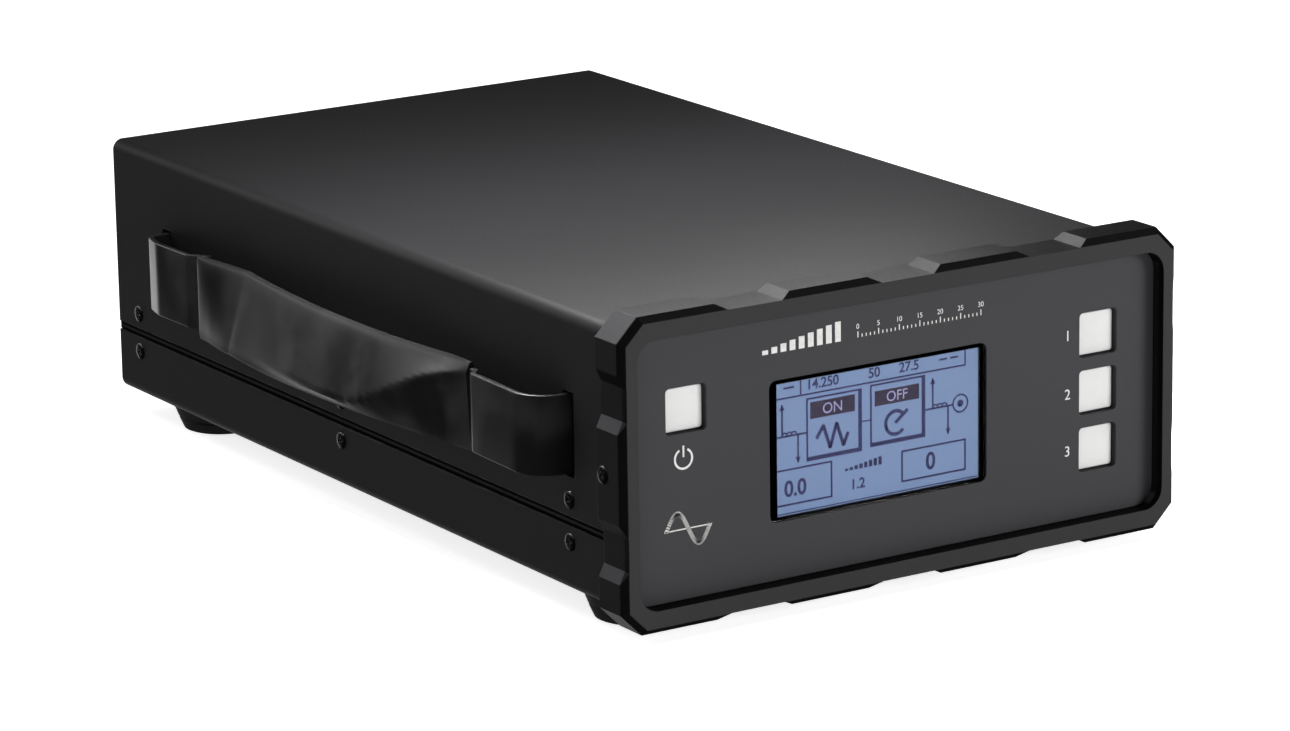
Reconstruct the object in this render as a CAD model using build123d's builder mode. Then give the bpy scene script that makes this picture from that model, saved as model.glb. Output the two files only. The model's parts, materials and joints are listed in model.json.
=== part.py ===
from build123d import *
import os
from math import cos, hypot, radians, sin

# Desktop HF linear amplifier: a folded sheet case of two U shells on side rails, a rugged
# front bezel around a control panel, a carrying strap on the left side and a fan-cooled
# power stage inside.  x runs to the right, y to the rear and z up, in millimetres.
# The origin is the middle of the overall footprint, on the surface that the feet stand on.
# Every place below is given from the case's middle plane (x), the bezel's front rim (y)
# and the standing surface (z).

os.makedirs("parts", exist_ok=True)

# ---------------------------------------------------------------- driving sizes

# Case shells and rails
case_width = 160.0
case_height = 71.7
case_length = 260.0
sheet = 1.5
bend_radius = 3.0
pan_wall = 17.1
rail_above_rib = 9.5
rail_below_rib = 7.5
rail_thickness = 5.0
rail_rib = 2.0
rib_set_back = 0.3
seam_gap = 0.2
fit = 0.2

# Screw rows on the case's sides
screw_from_front = 20.0
screw_pitch = 114.0
upper_row_above_rib = 5.5
lower_row_below_rib = 5.3

# Air slots under the pan, ahead of the heatsink
vent_pitch_x = 34.0
vent_pitch_y = 9.0
vent_length = 28.0
vent_width = 5.0
vent_before_sink = 20.0

# Feet
foot_height = 6.9
foot_top_radius = 14.0
foot_base_radius = 11.3
foot_inset_side = 16.0
foot_inset_front = 14.4
foot_inset_rear = 30.0
foot_recess_radius = 4.2
foot_recess_depth = 2.6
foot_boss_radius = 3.5
foot_boss_height = 3.0

# Front bezel
rim_over_width = 5.5
rim_over_height = 5.1
rim_below_case = 2.2
rim_corner = 5.0
block_proud = 1.6
front_bevel = 1.8
bezel_depth = 11.5
notch_pitch = 45.3
notch_floor = 15.6
notch_slope = 3.2
notch_overcut = 1.5
side_notch_offset = 18.8
side_notch_floor = 8.4
recess_border_side = 3.05
recess_border_top = 4.35
recess_corner = 5.5
panel_set_back = 4.0
panel_thickness = 3.0
ledge_width = 8.0
bulkhead_sheet = 1.5
ear_height = 12.0
side_screw_behind_panel = 1.9

# Display
window_width = 65.8
window_height = 36.3
window_corner = 2.0
window_x = -6.1
window_below_mid = 0.95
window_sunk = 0.3
window_thickness = 0.8
view_width = 61.4
view_height = 34.0
view_right = 0.6
view_down = 0.2
display_sheet = 0.5
display_flange = 4.0
glass_thickness = 2.0

# Keys
key_size = 11.0
key_gap = 0.4
key_corner = 0.8
key_sunk = 1.3
key_edge = 0.35
key_flange = 0.9
key_flange_thickness = 1.0
key_travel = 0.5
key_column_inset = 17.85
key_pitch = 15.1
power_key_inset = 16.4
post_radius = 1.7
switch_size = 6.2
switch_height = 3.5
switch_bore_play = 0.08
switch_bore_depth = 1.3

# Control board behind the panel
board_thickness = 1.6
control_board_gap = 2.0
control_board_beside_rail = 1.3
control_board_height = 56.0
chip_size = 14.0
chip_height = 2.0
chip_x = 8.0
chip_above_mid = 6.0
ribbon_plug_border = 2.0
ribbon_plug_height = 8.0
ribbon_plug_depth = 6.0
ribbon_below_mid = 4.0

# Carrying strap
strap_width = 20.5
strap_thickness = 1.6
strap_height = 47.6
strap_front_slot = 31.3
strap_span = 209.6
strap_slot_length = 5.0
strap_slot_play = 1.2
loop_reach = 9.4
loop_radius = 8.4
inner_loop_radius = 2.0
dip_radius = 1.6
loop_length = 30.0
strap_dip = 3.2
grip_width = 23.4
grip_thickness = 3.6
grip_bulge = 4.4
grip_gap = 5.0
clamp_length = 20.0
clamp_thickness = 2.0
clamp_corner = 1.5
clamp_stud_distance = 11.0

# Threads and screw heads
m25_radius = 1.2
m3_radius = 1.45
tap_play = 0.05
hole_play = 0.25
opening_play = 1.0
m25_head_radius = 2.35
m25_head_height = 1.4
side_head_height = 0.8
m3_head_radius = 2.75
m3_head_height = 1.8
frame_screw_length = 8.0
m3_nut_radius = 3.1
m3_nut_height = 2.4

head_taper = 18.0
head_socket_share = 0.6
head_socket_size = 0.75

# Rear panel and its sockets
rear_sheet = 2.0
fan_size = 60.0
fan_depth = 20.0
fan_hole_distance = 50.0
fan_beside_rail = 3.3
fan_bore_radius = 28.4
fan_hub_radius = 13.0
fan_tip_play = 0.9
fan_blades = 7
fan_pin_radius = 1.5
fan_pin_play = 0.05
fan_base = 3.0
fan_corner = 4.0
fan_screw_length = 16.0
blade_pitch = 38.0
blade_chord = 15.0
blade_thickness = 1.4
guard_first_ring = 8.5
guard_ring_pitch = 6.5
guard_ring_count = 4
guard_ear_radius = 3.6
guard_wire = 0.9
socket_row_height = 58.5
input_from_side = 56.0
antenna_from_side = 20.0
socket_flange = 25.4
socket_flange_thickness = 3.0
socket_thread_radius = 7.94
socket_reach = 13.0
socket_hole_pitch = 18.2
socket_bore_radius = 5.6
contact_radius = 3.0
contact_bore_radius = 2.0
contact_bore_depth = 12.0
insulator_sunk = 0.8
insulator_tail = 1.0
socket_neck = 4.0
socket_neck_wall = 1.2
socket_corner = 3.0
socket_slot = 1.6
socket_screw_length = 6.0
contact_tail = 10.0
low_row_height = 23.0
inlet_from_side = 56.0
inlet_width = 22.0
inlet_height = 14.0
inlet_flange = 3.0
inlet_wall = 2.0
inlet_depth = 14.0
inlet_reach = 4.0
inlet_pin_spacing = 10.0
inlet_pin_width = 1.6
inlet_pin_height = 6.0
inlet_tail = 5.0
ground_beside_fan = 12.0
ground_radius = 3.0
ground_reach = 15.0
ground_head_radius = 5.5
ground_head_height = 4.0
ground_washer_radius = 6.0
ground_washer_thickness = 1.2
ground_nut_height = 5.0
ground_relief = 0.8
ground_relief_depth = 0.4
accessory_from_side = 34.0
accessory_radius = 6.5
accessory_depth = 12.0
accessory_reach = 1.5
accessory_core_radius = 4.4
accessory_groove_radius = 5.6
accessory_body = 14.0
accessory_key_width = 2.2
accessory_key_height = 1.2
accessory_pin_circle = 2.9
accessory_pin_radius = 0.5
accessory_pins = 7
jack_from_side = 18.0
jack_bore_radius = 1.8
jack_bore_depth = 12.0
jack_collar_radius = 3.0
jack_reach = 4.0
jack_nut_radius = 4.2
jack_nut_height = 2.0
jack_body = 10.0

# Power stage
sink_beside_rail = 7.3
sink_front = 62.0
sink_before_fan = 11.5
sink_base = 6.0
sink_height = 24.0
sink_fins = 15
sink_fin = 2.0
sink_outer_fin = 8.0
sink_screw_inset = 18.0
standoff_height = 4.0
standoff_radius = 2.8
board_screw_length = 6.0
ribbon_plug_behind_edge = 6.0
amplifier_board_width = 72.0
board_column_gap = 8.0
board_row_gap = 2.0
filter_board_length = 92.0
board_edge = 4.0
transistor_width = 16.0
transistor_length = 21.0
transistor_proud = 0.6
transistor_lead_pitch = 5.0
transistor_lead_width = 1.2
transistor_lead_length = 8.0
transistor_lead_thickness = 0.5
transistor_behind_middle = 16.0
transistor_spacing = 30.0
ferrite_width = 34.0
ferrite_length = 30.0
ferrite_height = 18.0
ferrite_bore = 4.2
ferrite_gap = 6.0
small_ferrite = 15.0
small_ferrite_gap = 8.0
capacitor_radius = 6.0
capacitor_height = 16.0
capacitor_pitch = 22.0
coil_radius = 7.2
coil_wire = 3.4
relay_width = 10.2
relay_length = 20.2
relay_height = 11.0
relay_beside_middle = 14.0
coil_beside_middle = 8.0
coil_gap = 1.6
lead_radius = 1.2
lead_bend = 8.0
lead_turn_behind_sink = 6.0
lead_end_before_sink = 12.0
coax_end_beside_middle = 14.0
power_end_beside_middle = 26.0
power_end_spread = 4.0
ribbon_width = 20.0
ribbon_thickness = 0.8
ribbon_loop = 14.0
ribbon_bend = 5.0

# ---------------------------------------------------------------- worked-out places

case_half = case_width / 2
case_front = bezel_depth
case_rear = case_front + case_length
case_floor = foot_height
case_mid = case_floor + case_height / 2
inner_floor = case_floor + sheet
inner_half = case_half - sheet

pan_edge = case_floor + pan_wall
rib_low = pan_edge + seam_gap
rib_mid = rib_low + rail_rib / 2
cover_edge = rib_low + rail_rib + seam_gap
upper_row = rib_mid + upper_row_above_rib
lower_row = rib_mid - lower_row_below_rib
screw_ys = [case_front + screw_from_front + n * screw_pitch for n in range(3)]

rim_width = case_width + rim_over_width
rim_height = case_height + rim_over_height
recess_width = rim_width - 2 * recess_border_side
recess_height = rim_height - 2 * recess_border_top
rim_low = case_floor - rim_below_case
rim_mid = rim_low + rim_height / 2
panel_front = panel_set_back
panel_rear = panel_front + panel_thickness
bulkhead_front = bezel_depth
bulkhead_rear = bulkhead_front + bulkhead_sheet
bezel_screw_x = inner_half - m3_head_radius - 2 * fit
bezel_screw_z = recess_height / 2 - ledge_width / 2
side_screw_y = panel_rear + side_screw_behind_panel
ledge_half = recess_width / 2 - ledge_width

board_front = bulkhead_rear + control_board_gap
board_rear = board_front + board_thickness
window_z = rim_mid - window_below_mid
window_front = panel_front + window_sunk
display_front = window_front + window_thickness
glass_front = display_front + display_sheet
backlight_front = glass_front + glass_thickness
display_width = window_width - 2 * fit
display_height = window_height - 2 * fit
glass_width = display_width - 2 * display_sheet - fit
glass_height = display_height - 2 * display_sheet - fit

key_column_x = recess_width / 2 - key_column_inset
power_key_x = power_key_inset - recess_width / 2
key_face = panel_front + key_sunk
key_flange_front = panel_rear + fit
switch_face = board_front - switch_height
post_end = switch_face + switch_bore_depth - key_travel - fit
switch_opening = switch_size + 2 * opening_play
key_places = {
    "power_key": (power_key_x, window_z + key_pitch),
    "upper_key": (key_column_x, window_z + key_pitch),
    "middle_key": (key_column_x, window_z),
    "lower_key": (key_column_x, window_z - key_pitch),
}

strap_rear_slot = strap_front_slot + strap_span
strap_mid = (strap_front_slot + strap_rear_slot) / 2
strap_mouth = strap_front_slot + strap_thickness / 2
strap_inside = sheet + fit + strap_thickness / 2
strap_dipped = loop_reach - strap_dip
grip_start = strap_mouth + loop_length + grip_gap
grip_arc_start = grip_start + 2 * grip_gap
grip_mid_out = strap_dipped + grip_bulge
handle_reach = grip_mid_out + grip_thickness / 2
clamp_middle = strap_mouth + clamp_length / 2 + 2 * strap_thickness
clamp_out = strap_inside + strap_thickness / 2 + fit / 2
strap_stud_ys = [clamp_middle, 2 * strap_mid - clamp_middle]

rear_outside = case_rear
rear_inside = case_rear - rear_sheet
socket_end = rear_outside + socket_flange_thickness + socket_reach
rail_front = bulkhead_rear
rail_rear = rear_inside
rail_outer = inner_half - fit
rail_middle_x = rail_outer - rail_thickness / 2
rail_inner = rail_outer - rail_thickness
rail_end_screw = rib_mid
control_board_width = 2 * (rail_inner - control_board_beside_rail)

fan_x = fan_size / 2 + fan_beside_rail - rail_inner
input_socket_x = case_half - input_from_side
antenna_socket_x = case_half - antenna_from_side
inlet_x = case_half - inlet_from_side
accessory_x = case_half - accessory_from_side
jack_x = case_half - jack_from_side
ground_x = fan_x + fan_size / 2 + ground_beside_fan
above_inlet = low_row_height + inlet_height / 2 + inlet_flange
ground_height = (above_inlet + socket_row_height - socket_flange / 2) / 2
ground_nut_rear = rear_outside + ground_washer_thickness + ground_nut_height + fit

sink_floor = inner_floor + fit
sink_top = sink_floor + sink_height
sink_rear = rear_inside - fan_depth - sink_before_fan
sink_length = sink_rear - sink_front
sink_width = 2 * (rail_inner - sink_beside_rail)
board_low = sink_top + standoff_height
board_high = board_low + board_thickness
amplifier_length = sink_length - 2 * board_edge
filter_board_width = sink_width - amplifier_board_width - board_column_gap
tuner_board_length = amplifier_length - filter_board_length - board_row_gap
amplifier_x = -sink_width / 2 + amplifier_board_width / 2
filter_x = sink_width / 2 - filter_board_width / 2
filter_mid = sink_front + board_edge + filter_board_length / 2
tuner_mid = sink_rear - board_edge - tuner_board_length / 2
amplifier_mid = sink_front + sink_length / 2
transistor_y = amplifier_mid + transistor_behind_middle
output_ferrite_y = transistor_y + transistor_length / 2 + ferrite_length / 2 + ferrite_gap
input_ferrite_y = transistor_y - transistor_length / 2 - small_ferrite / 2 - small_ferrite_gap

# The overall box is centred on the origin: the strap stands out on the left side and the
# sockets on the rear.
bezel_half = rim_width / 2 + block_proud
widest_right = bezel_half + side_head_height
case_x = (case_half + handle_reach - widest_right) / 2
case_y = -socket_end / 2

# ---------------------------------------------------------------- planes


def facing(y):
    """Upright plane at depth y that faces the front; local x is right and local y is up."""
    return Plane(origin=(case_x, case_y + y, 0), x_dir=(1, 0, 0), z_dir=(0, -1, 0))


def level(z):
    """Level plane at height z that faces up; local x is right and local y is to the rear."""
    return Plane(origin=(case_x, case_y, z), x_dir=(1, 0, 0), z_dir=(0, 0, 1))


def beside(x):
    """Upright plane at x that faces right; local x is to the rear and local y is up."""
    return Plane(origin=(case_x + x, case_y, 0), x_dir=(0, 1, 0), z_dir=(1, 0, 0))


def seat(x, y, z, out):
    """Plane of a screw's seat at a place, facing the way that its head stands out."""
    return Plane(origin=(case_x + x, case_y + y, z), z_dir=out)


def screw_set(name, seats, thread_radius, length, head_radius, head_height):
    """Identical screws with tapered heads and hexagon sockets, in one node."""
    with BuildPart() as screws:
        for place in seats:
            with BuildSketch(place):
                Circle(head_radius)
            extrude(amount=head_height, taper=head_taper)
            with BuildSketch(place):
                Circle(thread_radius)
            extrude(amount=-length)
            with BuildSketch(place.offset(head_height)):
                RegularPolygon(radius=thread_radius * head_socket_size, side_count=6)
            extrude(amount=-head_height * head_socket_share, mode=Mode.SUBTRACT)
    screws.part.label = name
    export_step(screws.part, f"parts/{name}.step")
    return screws


corner_signs = [(-1, -1), (1, -1), (-1, 1), (1, 1)]

# ---------------------------------------------------------------- case shells

with BuildPart() as top_cover:
    with BuildSketch(facing(case_rear)):
        with Locations((0, case_mid)):
            RectangleRounded(case_width, case_height, bend_radius)
            RectangleRounded(
                case_width - 2 * sheet, case_height - 2 * sheet, bend_radius - sheet, mode=Mode.SUBTRACT
            )
        with Locations((0, cover_edge)):
            Rectangle(2 * case_width, case_height, align=(Align.CENTER, Align.MAX), mode=Mode.SUBTRACT)
    extrude(amount=case_length)
    with BuildSketch(beside(-case_width)):
        with Locations(*[(y, upper_row) for y in screw_ys]):
            Circle(m25_radius + hole_play)
    extrude(amount=2 * case_width, mode=Mode.SUBTRACT)
    with BuildSketch(beside(-case_half - sheet)):
        with Locations((strap_front_slot, strap_height), (strap_rear_slot, strap_height)):
            Rectangle(strap_slot_length, strap_width + strap_slot_play)
    extrude(amount=3 * sheet, mode=Mode.SUBTRACT)
    with BuildSketch(beside(-inner_half - fit)):
        for y in strap_stud_ys:
            with Locations((y, strap_height)):
                with GridLocations(1, clamp_stud_distance, 1, 2):
                    Circle(m3_radius)
    extrude(amount=fit + strap_thickness + clamp_thickness + m3_nut_height + 3 * fit)

top_cover.part.label = "top_cover"
export_step(top_cover.part, "parts/top_cover.step")

foot_ys = {"front": case_front + foot_inset_front, "rear": case_rear - foot_inset_rear}
foot_x = case_half - foot_inset_side
sink_screw_x = sink_width / 2 - sink_outer_fin / 2
sink_screw_ys = [sink_front + sink_screw_inset, sink_rear - sink_screw_inset]

with BuildPart() as bottom_pan:
    with BuildSketch(facing(case_rear)):
        with Locations((0, case_mid)):
            RectangleRounded(case_width, case_height, bend_radius)
            RectangleRounded(
                case_width - 2 * sheet, case_height - 2 * sheet, bend_radius - sheet, mode=Mode.SUBTRACT
            )
        with Locations((0, pan_edge)):
            Rectangle(2 * case_width, case_height, align=(Align.CENTER, Align.MIN), mode=Mode.SUBTRACT)
    extrude(amount=case_length)
    with BuildSketch(level(inner_floor)):
        for y in foot_ys.values():
            with Locations((-foot_x, y), (foot_x, y)):
                Circle(foot_boss_radius)
    extrude(amount=foot_boss_height)
    with BuildSketch(level(case_floor - sheet)):
        for y in foot_ys.values():
            with Locations((-foot_x, y), (foot_x, y)):
                Circle(m3_radius + tap_play)
        for y in sink_screw_ys:
            with Locations((-sink_screw_x, y), (sink_screw_x, y)):
                Circle(m3_radius + hole_play)
        with Locations((0, sink_front - vent_before_sink)):
            with GridLocations(vent_pitch_x, vent_pitch_y, 3, 2):
                SlotOverall(vent_length, vent_width)
    extrude(amount=3 * sheet + foot_boss_height, mode=Mode.SUBTRACT)
    with BuildSketch(beside(-case_width)):
        with Locations(*[(y, lower_row) for y in screw_ys]):
            Circle(m25_radius + hole_play)
    extrude(amount=2 * case_width, mode=Mode.SUBTRACT)

bottom_pan.part.label = "bottom_pan"
export_step(bottom_pan.part, "parts/bottom_pan.step")

for name, side in (("left_side_rail", -1), ("right_side_rail", 1)):
    with BuildPart() as rail:
        with BuildSketch(facing(rail_rear)):
            with Locations((side * rail_middle_x, rib_mid)):
                Rectangle(rail_thickness, rail_above_rib, align=(Align.CENTER, Align.MIN))
                Rectangle(rail_thickness, rail_below_rib, align=(Align.CENTER, Align.MAX))
            with Locations((side * (rail_outer - fit), rib_mid)):
                Rectangle(
                    case_half - rib_set_back - rail_outer + fit,
                    rail_rib,
                    align=(Align.MAX if side < 0 else Align.MIN, Align.CENTER),
                )
        extrude(amount=rail_rear - rail_front)
        with BuildSketch(beside(side * (rail_outer + fit))):
            with Locations(*[(y, z) for y in screw_ys for z in (upper_row, lower_row)]):
                Circle(m25_radius + tap_play)
        extrude(amount=-side * (rail_thickness + 2 * fit), mode=Mode.SUBTRACT)
        with BuildSketch(facing(rail_front)):
            with Locations((side * rail_middle_x, rail_end_screw)):
                Circle(m3_radius + tap_play)
        extrude(amount=-frame_screw_length, mode=Mode.SUBTRACT)
        with BuildSketch(facing(rail_rear)):
            with Locations((side * rail_middle_x, rail_end_screw)):
                Circle(m3_radius + tap_play)
        extrude(amount=frame_screw_length, mode=Mode.SUBTRACT)
    rail.part.label = name
    export_step(rail.part, f"parts/{name}.step")

side_seats = []
for y in screw_ys:
    for z in (upper_row, lower_row):
        side_seats.append(seat(-case_half, y, z, (-1, 0, 0)))
        side_seats.append(seat(case_half, y, z, (1, 0, 0)))
screw_set("case_screws", side_seats, m25_radius, sheet + rail_thickness, m25_head_radius, m25_head_height)

# ---------------------------------------------------------------- feet

for end, y in foot_ys.items():
    for side_name, side in (("left", -1), ("right", 1)):
        with BuildPart() as foot:
            with BuildSketch(level(0)):
                with Locations((side * foot_x, y)):
                    Circle(foot_base_radius)
            with BuildSketch(level(foot_height)):
                with Locations((side * foot_x, y)):
                    Circle(foot_top_radius)
            loft()
            with BuildSketch(level(0)):
                with Locations((side * foot_x, y)):
                    Circle(foot_recess_radius)
            extrude(amount=foot_recess_depth, mode=Mode.SUBTRACT)
            with BuildSketch(level(0)):
                with Locations((side * foot_x, y)):
                    Circle(m3_radius + hole_play)
            extrude(amount=foot_height, mode=Mode.SUBTRACT)
        foot.part.label = f"{end}_{side_name}_foot"
        export_step(foot.part, f"parts/{end}_{side_name}_foot.step")

foot_seats = [
    seat(side * foot_x, y, foot_recess_depth, (0, 0, -1)) for y in foot_ys.values() for side in (-1, 1)
]
foot_screw_length = foot_height - foot_recess_depth + sheet + foot_boss_height
screw_set("foot_screws", foot_seats, m3_radius, foot_screw_length, m3_head_radius, m3_head_height)

# ---------------------------------------------------------------- front bezel and panel


def notch(floor_width):
    """Corner points of a notch's section, from its floor outwards."""
    reach = notch_overcut
    half_floor = floor_width / 2
    half_mouth = half_floor + reach * notch_slope
    depth = reach * block_proud
    return [(-half_floor, 0), (half_floor, 0), (half_mouth, depth), (-half_mouth, depth)]


with BuildPart() as front_bezel:
    with BuildSketch(facing(0)) as rim_front:
        with Locations((0, rim_mid)):
            Rectangle(rim_width, rim_height)
        chamfer(rim_front.vertices(), length=rim_corner)
    with BuildSketch(facing(front_bevel)) as rim_blocks:
        with Locations((0, rim_mid)):
            Rectangle(rim_width, rim_height)
        chamfer(rim_blocks.vertices(), length=rim_corner)
        offset(amount=block_proud, kind=Kind.INTERSECTION)
    loft()
    with BuildSketch(facing(bezel_depth)) as rim_rear:
        with Locations((0, rim_mid)):
            Rectangle(rim_width, rim_height)
        chamfer(rim_rear.vertices(), length=rim_corner)
        offset(amount=block_proud, kind=Kind.INTERSECTION)
    extrude(amount=bezel_depth - front_bevel)
    with BuildSketch(facing(bezel_depth + front_bevel)):
        for x in (-notch_pitch, 0, notch_pitch):
            with Locations(Location((x, rim_mid + rim_height / 2), 0)):
                Polygon(*notch(notch_floor), align=None)
            with Locations(Location((x, rim_mid - rim_height / 2), 180)):
                Polygon(*notch(notch_floor), align=None)
        for z in (rim_mid - side_notch_offset, rim_mid + side_notch_offset):
            with Locations(Location((-rim_width / 2, z), 90)):
                Polygon(*notch(side_notch_floor), align=None)
            with Locations(Location((rim_width / 2, z), -90)):
                Polygon(*notch(side_notch_floor), align=None)
    extrude(amount=bezel_depth + 2 * front_bevel, mode=Mode.SUBTRACT)
    with BuildSketch(facing(panel_rear)):
        with Locations((0, rim_mid)):
            RectangleRounded(recess_width, recess_height, recess_corner)
    extrude(amount=panel_rear + front_bevel, mode=Mode.SUBTRACT)
    with BuildSketch(facing(bezel_depth)):
        with Locations((0, rim_mid)):
            RectangleRounded(2 * ledge_half, recess_height - 2 * ledge_width, recess_corner)
    extrude(amount=bezel_depth, mode=Mode.SUBTRACT)
    with BuildSketch(facing(bezel_depth)):
        for sx, sz in corner_signs:
            with Locations((sx * bezel_screw_x, rim_mid + sz * bezel_screw_z)):
                Circle(m3_radius + hole_play)
    extrude(amount=bezel_depth - panel_rear, mode=Mode.SUBTRACT)
    with BuildSketch(facing(bezel_depth)):
        with Locations((-rail_middle_x, rail_end_screw), (rail_middle_x, rail_end_screw)):
            Circle(m3_head_radius + fit)
    extrude(amount=m3_head_height + fit, mode=Mode.SUBTRACT)
    with BuildSketch(beside(-rim_width)):
        with Locations((side_screw_y, rim_mid)):
            Circle(m25_radius + hole_play)
    extrude(amount=2 * rim_width, mode=Mode.SUBTRACT)

front_bezel.part.label = "front_bezel"
export_step(front_bezel.part, "parts/front_bezel.step")

with BuildPart() as front_panel:
    with BuildSketch(facing(panel_rear)):
        with Locations((0, rim_mid)):
            RectangleRounded(recess_width - 2 * fit, recess_height - 2 * fit, recess_corner - fit)
        with Locations((window_x, window_z)):
            RectangleRounded(window_width, window_height, window_corner, mode=Mode.SUBTRACT)
        with Locations(*key_places.values()):
            RectangleRounded(
                key_size + 2 * key_gap, key_size + 2 * key_gap, key_corner + key_gap, mode=Mode.SUBTRACT
            )
    extrude(amount=panel_thickness)
    with BuildSketch(facing(panel_rear)):
        for sx, sz in corner_signs:
            with Locations((sx * bezel_screw_x, rim_mid + sz * bezel_screw_z)):
                Circle(m3_radius + tap_play)
    extrude(amount=frame_screw_length + panel_rear - bulkhead_rear, mode=Mode.SUBTRACT)

front_panel.part.label = "front_panel"
export_step(front_panel.part, "parts/front_panel.step")

bulkhead_half = inner_half - fit
bulkhead_height = case_height - 2 * sheet - 2 * fit
ear_outer = ledge_half - fit
standoff_places = [
    (sx * (control_board_width / 2 - board_edge), rim_mid + sz * (control_board_height / 2 - board_edge))
    for sx, sz in corner_signs
]

with BuildPart() as front_bulkhead:
    with BuildSketch(facing(bulkhead_rear)):
        with Locations((0, case_mid)):
            RectangleRounded(2 * bulkhead_half, bulkhead_height, bend_radius - sheet)
        with Locations((window_x, window_z)):
            Rectangle(window_width, window_height, mode=Mode.SUBTRACT)
        with Locations(*key_places.values()):
            Rectangle(switch_opening, switch_opening, mode=Mode.SUBTRACT)
    extrude(amount=bulkhead_sheet)
    with BuildSketch(facing(bulkhead_front)):
        with Locations((-ear_outer, rim_mid)):
            Rectangle(bulkhead_sheet, ear_height, align=(Align.MIN, Align.CENTER))
        with Locations((ear_outer, rim_mid)):
            Rectangle(bulkhead_sheet, ear_height, align=(Align.MAX, Align.CENTER))
    extrude(amount=bulkhead_front - panel_rear - fit)
    with BuildSketch(facing(bulkhead_rear)):
        for sx, sz in corner_signs:
            with Locations((sx * bezel_screw_x, rim_mid + sz * bezel_screw_z)):
                Circle(m3_radius + hole_play)
        for sx in (-1, 1):
            with Locations((sx * rail_middle_x, rail_end_screw)):
                Circle(m3_radius + hole_play)
        with Locations(*standoff_places):
            Circle(m25_radius + tap_play)
    extrude(amount=bulkhead_sheet, mode=Mode.SUBTRACT)
    with BuildSketch(beside(-rim_width)):
        with Locations((side_screw_y, rim_mid)):
            Circle(m25_radius + tap_play)
    extrude(amount=2 * rim_width, mode=Mode.SUBTRACT)

front_bulkhead.part.label = "front_bulkhead"
export_step(front_bulkhead.part, "parts/front_bulkhead.step")

side_screw_length = bezel_half - ear_outer + bulkhead_sheet
screw_set(
    "bezel_side_screws",
    [
        seat(-bezel_half, side_screw_y, rim_mid, (-1, 0, 0)),
        seat(bezel_half, side_screw_y, rim_mid, (1, 0, 0)),
    ],
    m25_radius,
    side_screw_length,
    m25_head_radius,
    side_head_height,
)

frame_seats = []
for sx, sz in corner_signs:
    frame_seats.append(seat(sx * bezel_screw_x, bulkhead_rear, rim_mid + sz * bezel_screw_z, (0, 1, 0)))
for sx in (-1, 1):
    frame_seats.append(seat(sx * rail_middle_x, bulkhead_front, rail_end_screw, (0, -1, 0)))
    frame_seats.append(seat(sx * rail_middle_x, rear_outside, rail_end_screw, (0, 1, 0)))
screw_set("frame_screws", frame_seats, m3_radius, frame_screw_length, m3_head_radius, m3_head_height)

# ---------------------------------------------------------------- display

with BuildPart() as display_window:
    with BuildSketch(facing(display_front)):
        with Locations((window_x, window_z)):
            RectangleRounded(window_width - fit, window_height - fit, window_corner - fit / 2)
    extrude(amount=window_thickness)

display_window.part.label = "display_window"
export_step(display_window.part, "parts/display_window.step")

with BuildPart() as display_frame:
    with BuildSketch(facing(board_front)):
        with Locations((window_x, window_z)):
            RectangleRounded(display_width, display_height, window_corner - fit)
            Rectangle(glass_width + fit, glass_height + fit, mode=Mode.SUBTRACT)
    extrude(amount=board_front - display_front)
    with BuildSketch(facing(glass_front)):
        with Locations((window_x, window_z)):
            RectangleRounded(display_width, display_height, window_corner - fit)
        with Locations((window_x + view_right, window_z - view_down)):
            Rectangle(view_width, view_height, mode=Mode.SUBTRACT)
    extrude(amount=display_sheet)
    with BuildSketch(facing(panel_rear + fit + display_sheet)):
        with Locations((window_x, window_z)):
            Rectangle(window_width + 2 * display_flange, window_height + 2 * display_flange)
            Rectangle(display_width - display_sheet, display_height - display_sheet, mode=Mode.SUBTRACT)
    extrude(amount=display_sheet)

display_frame.part.label = "display_frame"
export_step(display_frame.part, "parts/display_frame.step")

with BuildPart() as display_glass:
    with BuildSketch(facing(backlight_front)):
        with Locations((window_x, window_z)):
            Rectangle(glass_width, glass_height)
    extrude(amount=glass_thickness)

display_glass.part.label = "display_glass"
export_step(display_glass.part, "parts/display_glass.step")

with BuildPart() as display_backlight:
    with BuildSketch(facing(board_front)):
        with Locations((window_x, window_z)):
            Rectangle(glass_width, glass_height)
    extrude(amount=board_front - backlight_front)

display_backlight.part.label = "display_backlight"
export_step(display_backlight.part, "parts/display_backlight.step")

# ---------------------------------------------------------------- control board and keys

ribbon_plug_width = ribbon_width + 2 * ribbon_plug_border
ribbon_x = amplifier_x
ribbon_z = rim_mid - ribbon_below_mid

with BuildPart() as control_board:
    with BuildSketch(facing(board_rear)):
        with Locations((0, rim_mid)):
            Rectangle(control_board_width, control_board_height)
        with Locations(*standoff_places):
            Circle(m25_radius + hole_play, mode=Mode.SUBTRACT)
    extrude(amount=board_thickness)
    with BuildSketch(facing(board_rear)):
        with Locations((ribbon_x, ribbon_z)):
            Rectangle(ribbon_plug_width, ribbon_plug_height)
        with Locations((chip_x, rim_mid + chip_above_mid)):
            Rectangle(chip_size, chip_size)
    extrude(amount=-chip_height)

control_board.part.label = "control_board"
export_step(control_board.part, "parts/control_board.step")

with BuildPart() as key_switches:
    with BuildSketch(facing(board_front)):
        with Locations(*key_places.values()):
            Rectangle(switch_size, switch_size)
    extrude(amount=switch_height)
    with BuildSketch(facing(switch_face)):
        with Locations(*key_places.values()):
            Circle(post_radius + switch_bore_play)
    extrude(amount=-switch_bore_depth, mode=Mode.SUBTRACT)

key_switches.part.label = "key_switches"
export_step(key_switches.part, "parts/key_switches.step")

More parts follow.
